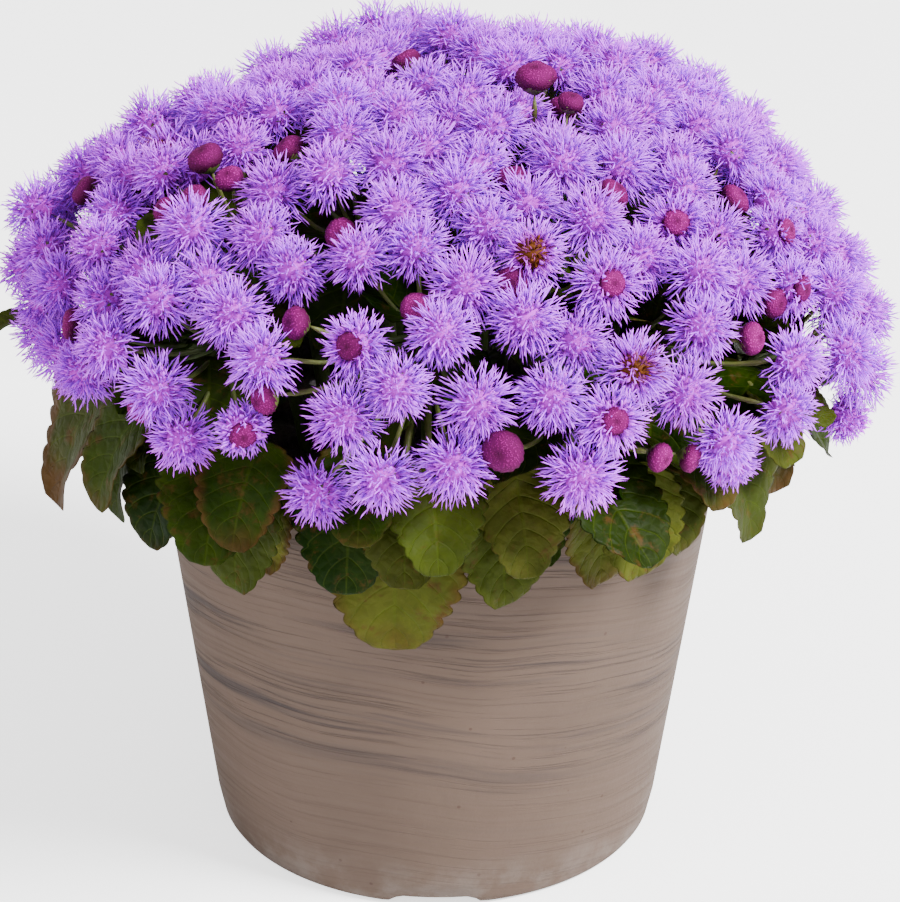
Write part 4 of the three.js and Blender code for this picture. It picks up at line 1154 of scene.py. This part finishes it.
class FlowerSettings(bpy.types.PropertyGroup):
    threads: count_setting("Threads", "Threads of one head", 166, 10, 400)
    fine_threads: count_setting("Fine threads", "Fine threads of one head", 186, 10, 400)
    tubes: count_setting("Tubes", "Floret tubes of one head", 70, 1, 200)
    short_share: factor_setting("Short threads", "Share of short, rosy threads", 0.22)
    thread_width: unit_setting("Thread width", "Width of a thread near its tip", 0.00025)
    overlap: unit_setting("Overlap", "How far the threads of two heads mingle", 0.0016)
    # mauve at the roots, and darker there as painted shade deep in a head
    mauve_and_shade_root_colour: colour_setting("Thread root", "Colour deep in a head", (0.42, 0.008, 0.50))
    thread_colour: colour_setting("Thread", "Colour halfway up a thread", (0.47, 0.014, 0.96))
    tip_colour: colour_setting("Thread tip", "Colour of the tips", (0.60, 0.085, 1.0))
    blush_colour: colour_setting("Blush", "Colour of young florets", (0.66, 0.026, 0.68))
    # a darker colour that paints shade between a bud's beads, on its underside and in its hollow
    shaded_bud_colour: colour_setting("Bud", "Colour between a bud's beads", (0.046, 0.0007, 0.025))
    bead_colour: colour_setting("Bead", "Colour of a bud's beads", (0.25, 0.0085, 0.160))
    withered_colour: colour_setting("Withered", "Colour of withered florets", (0.11, 0.033, 0.006))


class FoliageSettings(bpy.types.PropertyGroup):
    teeth: factor_setting("Teeth", "Depth of the leaf's teeth, as a share of its width", 0.13, 0.5)
    crinkle: unit_setting("Crinkle", "Height of the leaf's crinkles", 0.00035)
    leaf_colour: colour_setting("Leaf", "Colour of a full grown leaf", (0.0044, 0.0165, 0.0001))
    young_colour: colour_setting("Patches", "Colour of its lighter patches", (0.030, 0.047, 0.0030))
    fresh_colour: colour_setting("Pale leaf", "Colour of a pale leaf", (0.122, 0.118, 0.0150))
    vein_colour: colour_setting("Veins", "Colour of the ribs and veins", (0.050, 0.076, 0.0050))
    rust_colour: colour_setting("Rust", "Colour of dry edges and brown spots", (0.050, 0.024, 0.006))
    stalk_colour: colour_setting("Stalk", "Colour of stems and stalks", (0.030, 0.050, 0.004))


class StudioSettings(bpy.types.PropertyGroup):
    floor_colour: colour_setting("Floor", "Colour of the floor", (0.88, 0.88, 0.88))
    floor_glow: factor_setting("Floor glow", "How much brighter the floor looks", 1.6, 10.0)
    key_power: unit_setting("Main light", "Power of the soft main light", 104.0, "POWER")
    fill_power: unit_setting("Side light", "Power of the soft light opposite", 7.0, "POWER")
    sky_strength: factor_setting("Surroundings", "Strength of the even light all round", 1.0, 10.0)
    distance: unit_setting("Camera distance", "From the camera to its aim", 0.8)
    elevation: unit_setting("Camera elevation", "Angle above the horizon", math.radians(26.48), "ROTATION",
                            subtype="ANGLE")
    roll: unit_setting("Camera roll", "Turn about its own axis", math.radians(0.54), "ROTATION",
                       subtype="ANGLE")
    lens: FloatProperty(name="Lens", description="Focal length", default=163.6, subtype="DISTANCE_CAMERA")


SETTINGS = {
    "ageratum_pot": PotSettings,
    "ageratum_flowers": FlowerSettings,
    "ageratum_foliage": FoliageSettings,
    "ageratum_studio": StudioSettings,
}


# ---- operators ----------------------------------------------------------------------------------------
class AGERATUM_OT_studio(bpy.types.Operator):
    """Make the floor, the lights and the camera"""

    bl_idname = "ageratum.studio"
    bl_label = "Studio"

    def execute(self, context):
        settings, link = context.scene.ageratum_studio, context.scene.collection.objects.link
        mesh = bpy.data.meshes.new("floor")
        corners = [(FLOOR * x, FLOOR * y, 0) for x, y in ((-1, -1), (1, -1), (1, 1), (-1, 1))]
        mesh.from_pydata(corners, [], [(0, 1, 2, 3)])
        mesh.materials.append(floor_material(settings))
        floor = bpy.data.objects.new("floor", mesh)
        link(floor)

        world = bpy.data.worlds.new("studio")
        context.scene.world = world
        world.use_nodes = True
        back = world.node_tree.nodes["Background"]
        back.inputs[0].default_value = WHITE
        back.inputs[1].default_value = settings.sky_strength

        for (name, place, size), power in zip(LAMPS, (settings.key_power, settings.fill_power)):
            lamp = bpy.data.lights.new(name, "AREA")
            lamp.shape, lamp.size, lamp.energy = "DISK", size, power
            holder = bpy.data.objects.new(name, lamp)
            holder.location = place
            holder.rotation_euler = (Vector(LAMP_AIM) - Vector(place)).to_track_quat("-Z", "Y").to_euler()
            link(holder)

        camera = bpy.data.objects.new("camera", bpy.data.cameras.new("camera"))
        link(camera)
        rise, roll = settings.elevation, settings.roll
        right, up = Vector((1, 0, 0)), Vector((0, math.sin(rise), math.cos(rise)))
        backward = Vector((0, -math.cos(rise), math.sin(rise)))
        turned_right = right * math.cos(roll) + up * math.sin(roll)
        turned_up = up * math.cos(roll) - right * math.sin(roll)
        turn = Matrix((turned_right, turned_up, backward)).transposed()
        place = Vector(CAMERA_AIM) * METRES + backward * settings.distance
        camera.matrix_world = Matrix.Translation(place) @ turn.to_4x4()
        camera.data.lens = settings.lens
        camera.data.clip_start, camera.data.clip_end = CAMERA_LIMITS
        context.scene.camera = camera
        return {"FINISHED"}


class AGERATUM_OT_pot(bpy.types.Operator):
    """Make the tapered pot, with a rounded rim and foot and four drain notches"""

    bl_idname = "ageratum.pot"
    bl_label = "Pot"

    def execute(self, context):
        settings = context.scene.ageratum_pot
        arc = np.radians(np.linspace(0, 90, EDGES["points"]))
        rim, foot, top, wall, floor = (POT[key] for key in ("rim", "foot", "height", "wall", "floor"))
        low, high, ring = EDGES["foot"], EDGES["rim"], foot - POT["ring"]
        outer = [(foot - low + low * math.sin(a), low - low * math.cos(a)) for a in arc]
        outer += [(wall_radius(z), z) for z in np.linspace(*EDGES["wall"])]
        outer += [(rim - high + high * math.cos(a), top - high + high * math.sin(a)) for a in arc]
        inner = [(rim - wall + high - high * math.sin(a), top - high + high * math.cos(a)) for a in arc]
        inner += [(wall_radius(z) - wall, z) for z in (*EDGES["inner"], floor)]
        under = [(POT["drain"], floor), (POT["drain"], POT["recess"]), (ring, POT["recess"]), (ring, 0),
                 (foot - EDGES["sole"], 0)]
        profile = np.array(outer + inner + under)
        turn = turns(settings.sides)
        # each notch lifts the foot's lower edge, with a straight slope at either side
        quarter = 2 * np.pi / POT["notches"]
        away = np.abs((turn + quarter / 2) % quarter - quarter / 2) * foot
        inside = POT["notch_width"] / 2 + EDGES["slope"] / 2 - away
        lift = POT["notch_height"] * np.clip(inside / EDGES["slope"], 0, 1)
        radius, height = profile[:, :1], profile[:, 1:]
        raised = (height < POT["notch_height"]) & (radius > ring - EDGES["margin"])
        height = np.where(raised, np.maximum(height, lift), height)
        corners = np.stack([radius * np.cos(turn), radius * np.sin(turn), height], -1)
        at = np.arange(height.size).reshape(height.shape)
        after = np.roll(at, -1, 1)
        quads = np.stack([at, after, np.roll(after, -1, 0), np.roll(at, -1, 0)], -1).reshape(-1, 4)
        shape = {"corners": corners.reshape(-1, 3), "quads": quads, "triangles": np.empty((0, 3), int)}
        levels = np.arange(len(profile))[:, None] / len(profile)
        layout = np.stack(np.broadcast_arrays(np.abs(turn / np.pi - 1), levels), -1).reshape(-1, 2)
        pot = make_piece("clay_pot", [block(shape, 0, layout)], [pot_material(settings)], "pot")
        pot.data.uv_layers.remove(pot.data.uv_layers[MAP])
        return {"FINISHED"}


class AGERATUM_OT_soil(bpy.types.Operator):
    """Make the potting soil, whose top is heaped with crumbs"""

    bl_idname = "ageratum.soil"
    bl_label = "Soil"

    def execute(self, context):
        turn, steps = turns(CRUMBS["sides"]), CRUMBS["rings"]
        bottom, edge = POT["floor"] + GAP, soil_radius(SOIL["top"])
        radius = np.append(soil_radius(bottom), edge * (1 - np.arange(steps) / steps))[:, None]
        x, y = radius * np.cos(turn), radius * np.sin(turn)
        high = np.broadcast_to(soil_height(radius), x.shape)
        # crumbs: rounded heaps, each falling off as exp(-(distance / size)^2)
        k = np.arange(CRUMBS["count"])
        far, around = edge * np.sqrt(draw(k, 61)) * CRUMBS["within"], 2 * np.pi * draw(k, 62)
        size = CRUMBS["wide"][0] + CRUMBS["wide"][1] * draw(k, 63)
        tall = CRUMBS["tall"][0] + CRUMBS["tall"][1] * draw(k, 64)
        for cx, cy, wide, up in zip(far * np.cos(around), far * np.sin(around), size, tall):
            high = high + up * np.exp(-((x - cx) ** 2 + (y - cy) ** 2) / wide**2)
        high[0] = bottom
        high[1] = SOIL["top"]
        rings = np.stack([x, y, high], -1)[None]
        shape = skins(rings, np.array([[0, 0, bottom]]), np.array([[0, 0, high[-1].mean()]]))
        make_piece("potting_soil", [block(shape, 0, spread_map(shape))], [soil_material()], "soil")
        return {"FINISHED"}


class AGERATUM_OT_stems(bpy.types.Operator):
    """Make the stems with their leaves"""

    bl_idname = "ageratum.stems"
    bl_label = "Stems and leaves"

    def execute(self, context):
        settings = context.scene.ageratum_foliage
        sprays = plan_sprays()
        stems = plan_stems(sprays)
        leaves = plan_leaves(stems)
        materials = [stalk_material(settings), leaf_material(settings)]
        along = np.linspace(0, 1, TWIG["levels"] + 2)
        thick = STEM["radius"] * (1 - TWIG["thinner"] * along)
        for k, corners in enumerate(stems):
            shape = tubes(spaced(corners, along)[None], thick, TWIG["sides"])
            numbers = {"along": per_ring(shape, TWIG["along"] * along[1:-1], 0, TWIG["along"])}
            blocks = [block(shape, 0, spread_map(shape, 0, STEM_CELLS), **numbers)]
            mine = {key: values[leaves["stem"] == k] for key, values in leaves.items()}
            if len(mine["length"]):
                shape, numbers = petiole_shapes(mine, stems)
                blocks.append(block(shape, 0, spread_map(shape, 1, STEM_CELLS), **numbers))
                shape, layout, numbers = blade_shapes(mine, settings, BLADE["levels"])
                blocks.append(block(shape, 1, layout, **numbers))
            ruff = whorl(sprays["axis"][k], sprays["knot"][k], k)
            shape, layout, numbers = blade_shapes(ruff, settings, BLADE["small_levels"])
            blocks.append(block(shape, 1, layout, **numbers))
            stem = make_piece(f"leafy_stem_{k + 1:02d}", blocks, materials, f"stem_{k + 1:02d}")
            stem.data.uv_layers.remove(stem.data.uv_layers[MAP])
        return {"FINISHED"}


class AGERATUM_OT_flowers(bpy.types.Operator):
    """Make the sprays of threadlike flower heads and round buds"""

    bl_idname = "ageratum.flowers"
    bl_label = "Flowers"

    def execute(self, context):
        settings = context.scene.ageratum_flowers
        sprays = plan_sprays()
        blooms = plan_blooms(sprays)
        materials = [thread_material(settings), bud_material(settings),
                     stalk_material(context.scene.ageratum_foliage)]
        for k in range(SPRAYS):
            picked = np.flatnonzero(blooms["spray"] == k)
            heads, buds = picked[~blooms["bud"][picked]], picked[blooms["bud"][picked]]
            buttons = np.concatenate([buds, heads[blooms["young"][heads] > 0]])
            lots = (
                (0, *thread_shapes(blooms, heads, settings, settings.threads, LONG, k)),
                (0, *thread_shapes(blooms, heads, settings, settings.fine_threads, FINE, k + FINE_SEED)),
                (0, *tube_shapes(blooms, heads, settings, k + TUBE_SEED)),
                (0, *core_shapes(blooms, heads)),
                (2, *cup_shapes(blooms, picked)),
                (2, *stalk_shapes(blooms, picked, sprays["knot"][k])),
            )
            cells = math.ceil(math.sqrt(sum(shape["size"][0] for _, shape, _ in lots[:3]) + 3 * len(picked)))
            blocks, used = [], 0
            for slot, shape, numbers in lots:
                blocks.append(block(shape, slot, spread_map(shape, used, cells), **numbers))
                used += shape["size"][0]
            if len(buttons):
                shape, numbers = button_shapes(blooms, buttons)
                blocks.append(block(shape, 1, spread_map(shape), **numbers))
            make_piece(f"flower_spray_{k + 1:02d}", blocks, materials, f"spray_{k + 1:02d}")
        return {"FINISHED"}


class AGERATUM_PT_panel(bpy.types.Panel):
    """The settings, and a button for each piece"""

    bl_label = "Potted ageratum"
    bl_idname = "AGERATUM_PT_panel"
    bl_space_type = "VIEW_3D"
    bl_region_type = "UI"
    bl_category = "Ageratum"

    def draw(self, context):
        for operator, name in zip(OPERATORS, ("ageratum_studio", "ageratum_pot", None, "ageratum_foliage",
                                              "ageratum_flowers")):
            box = self.layout.box()
            box.operator(operator.bl_idname)
            if name:
                settings = getattr(context.scene, name)
                for key in SETTINGS[name].__annotations__:
                    box.prop(settings, key)


OPERATORS = (AGERATUM_OT_studio, AGERATUM_OT_pot, AGERATUM_OT_soil, AGERATUM_OT_stems, AGERATUM_OT_flowers)
CLASSES = (*SETTINGS.values(), *OPERATORS, AGERATUM_PT_panel)


def register():
    for cls in CLASSES:
        bpy.utils.register_class(cls)
    for name, cls in SETTINGS.items():
        setattr(bpy.types.Scene, name, PointerProperty(type=cls))


def unregister():
    for name in SETTINGS:
        delattr(bpy.types.Scene, name)
    for cls in reversed(CLASSES):
        bpy.utils.unregister_class(cls)


def main():
    """Makes everything in order."""
    register()
    bpy.ops.ageratum.studio()
    bpy.ops.ageratum.pot()
    bpy.ops.ageratum.soil()
    bpy.ops.ageratum.stems()
    bpy.ops.ageratum.flowers()


if __name__ == "__main__":
    main()
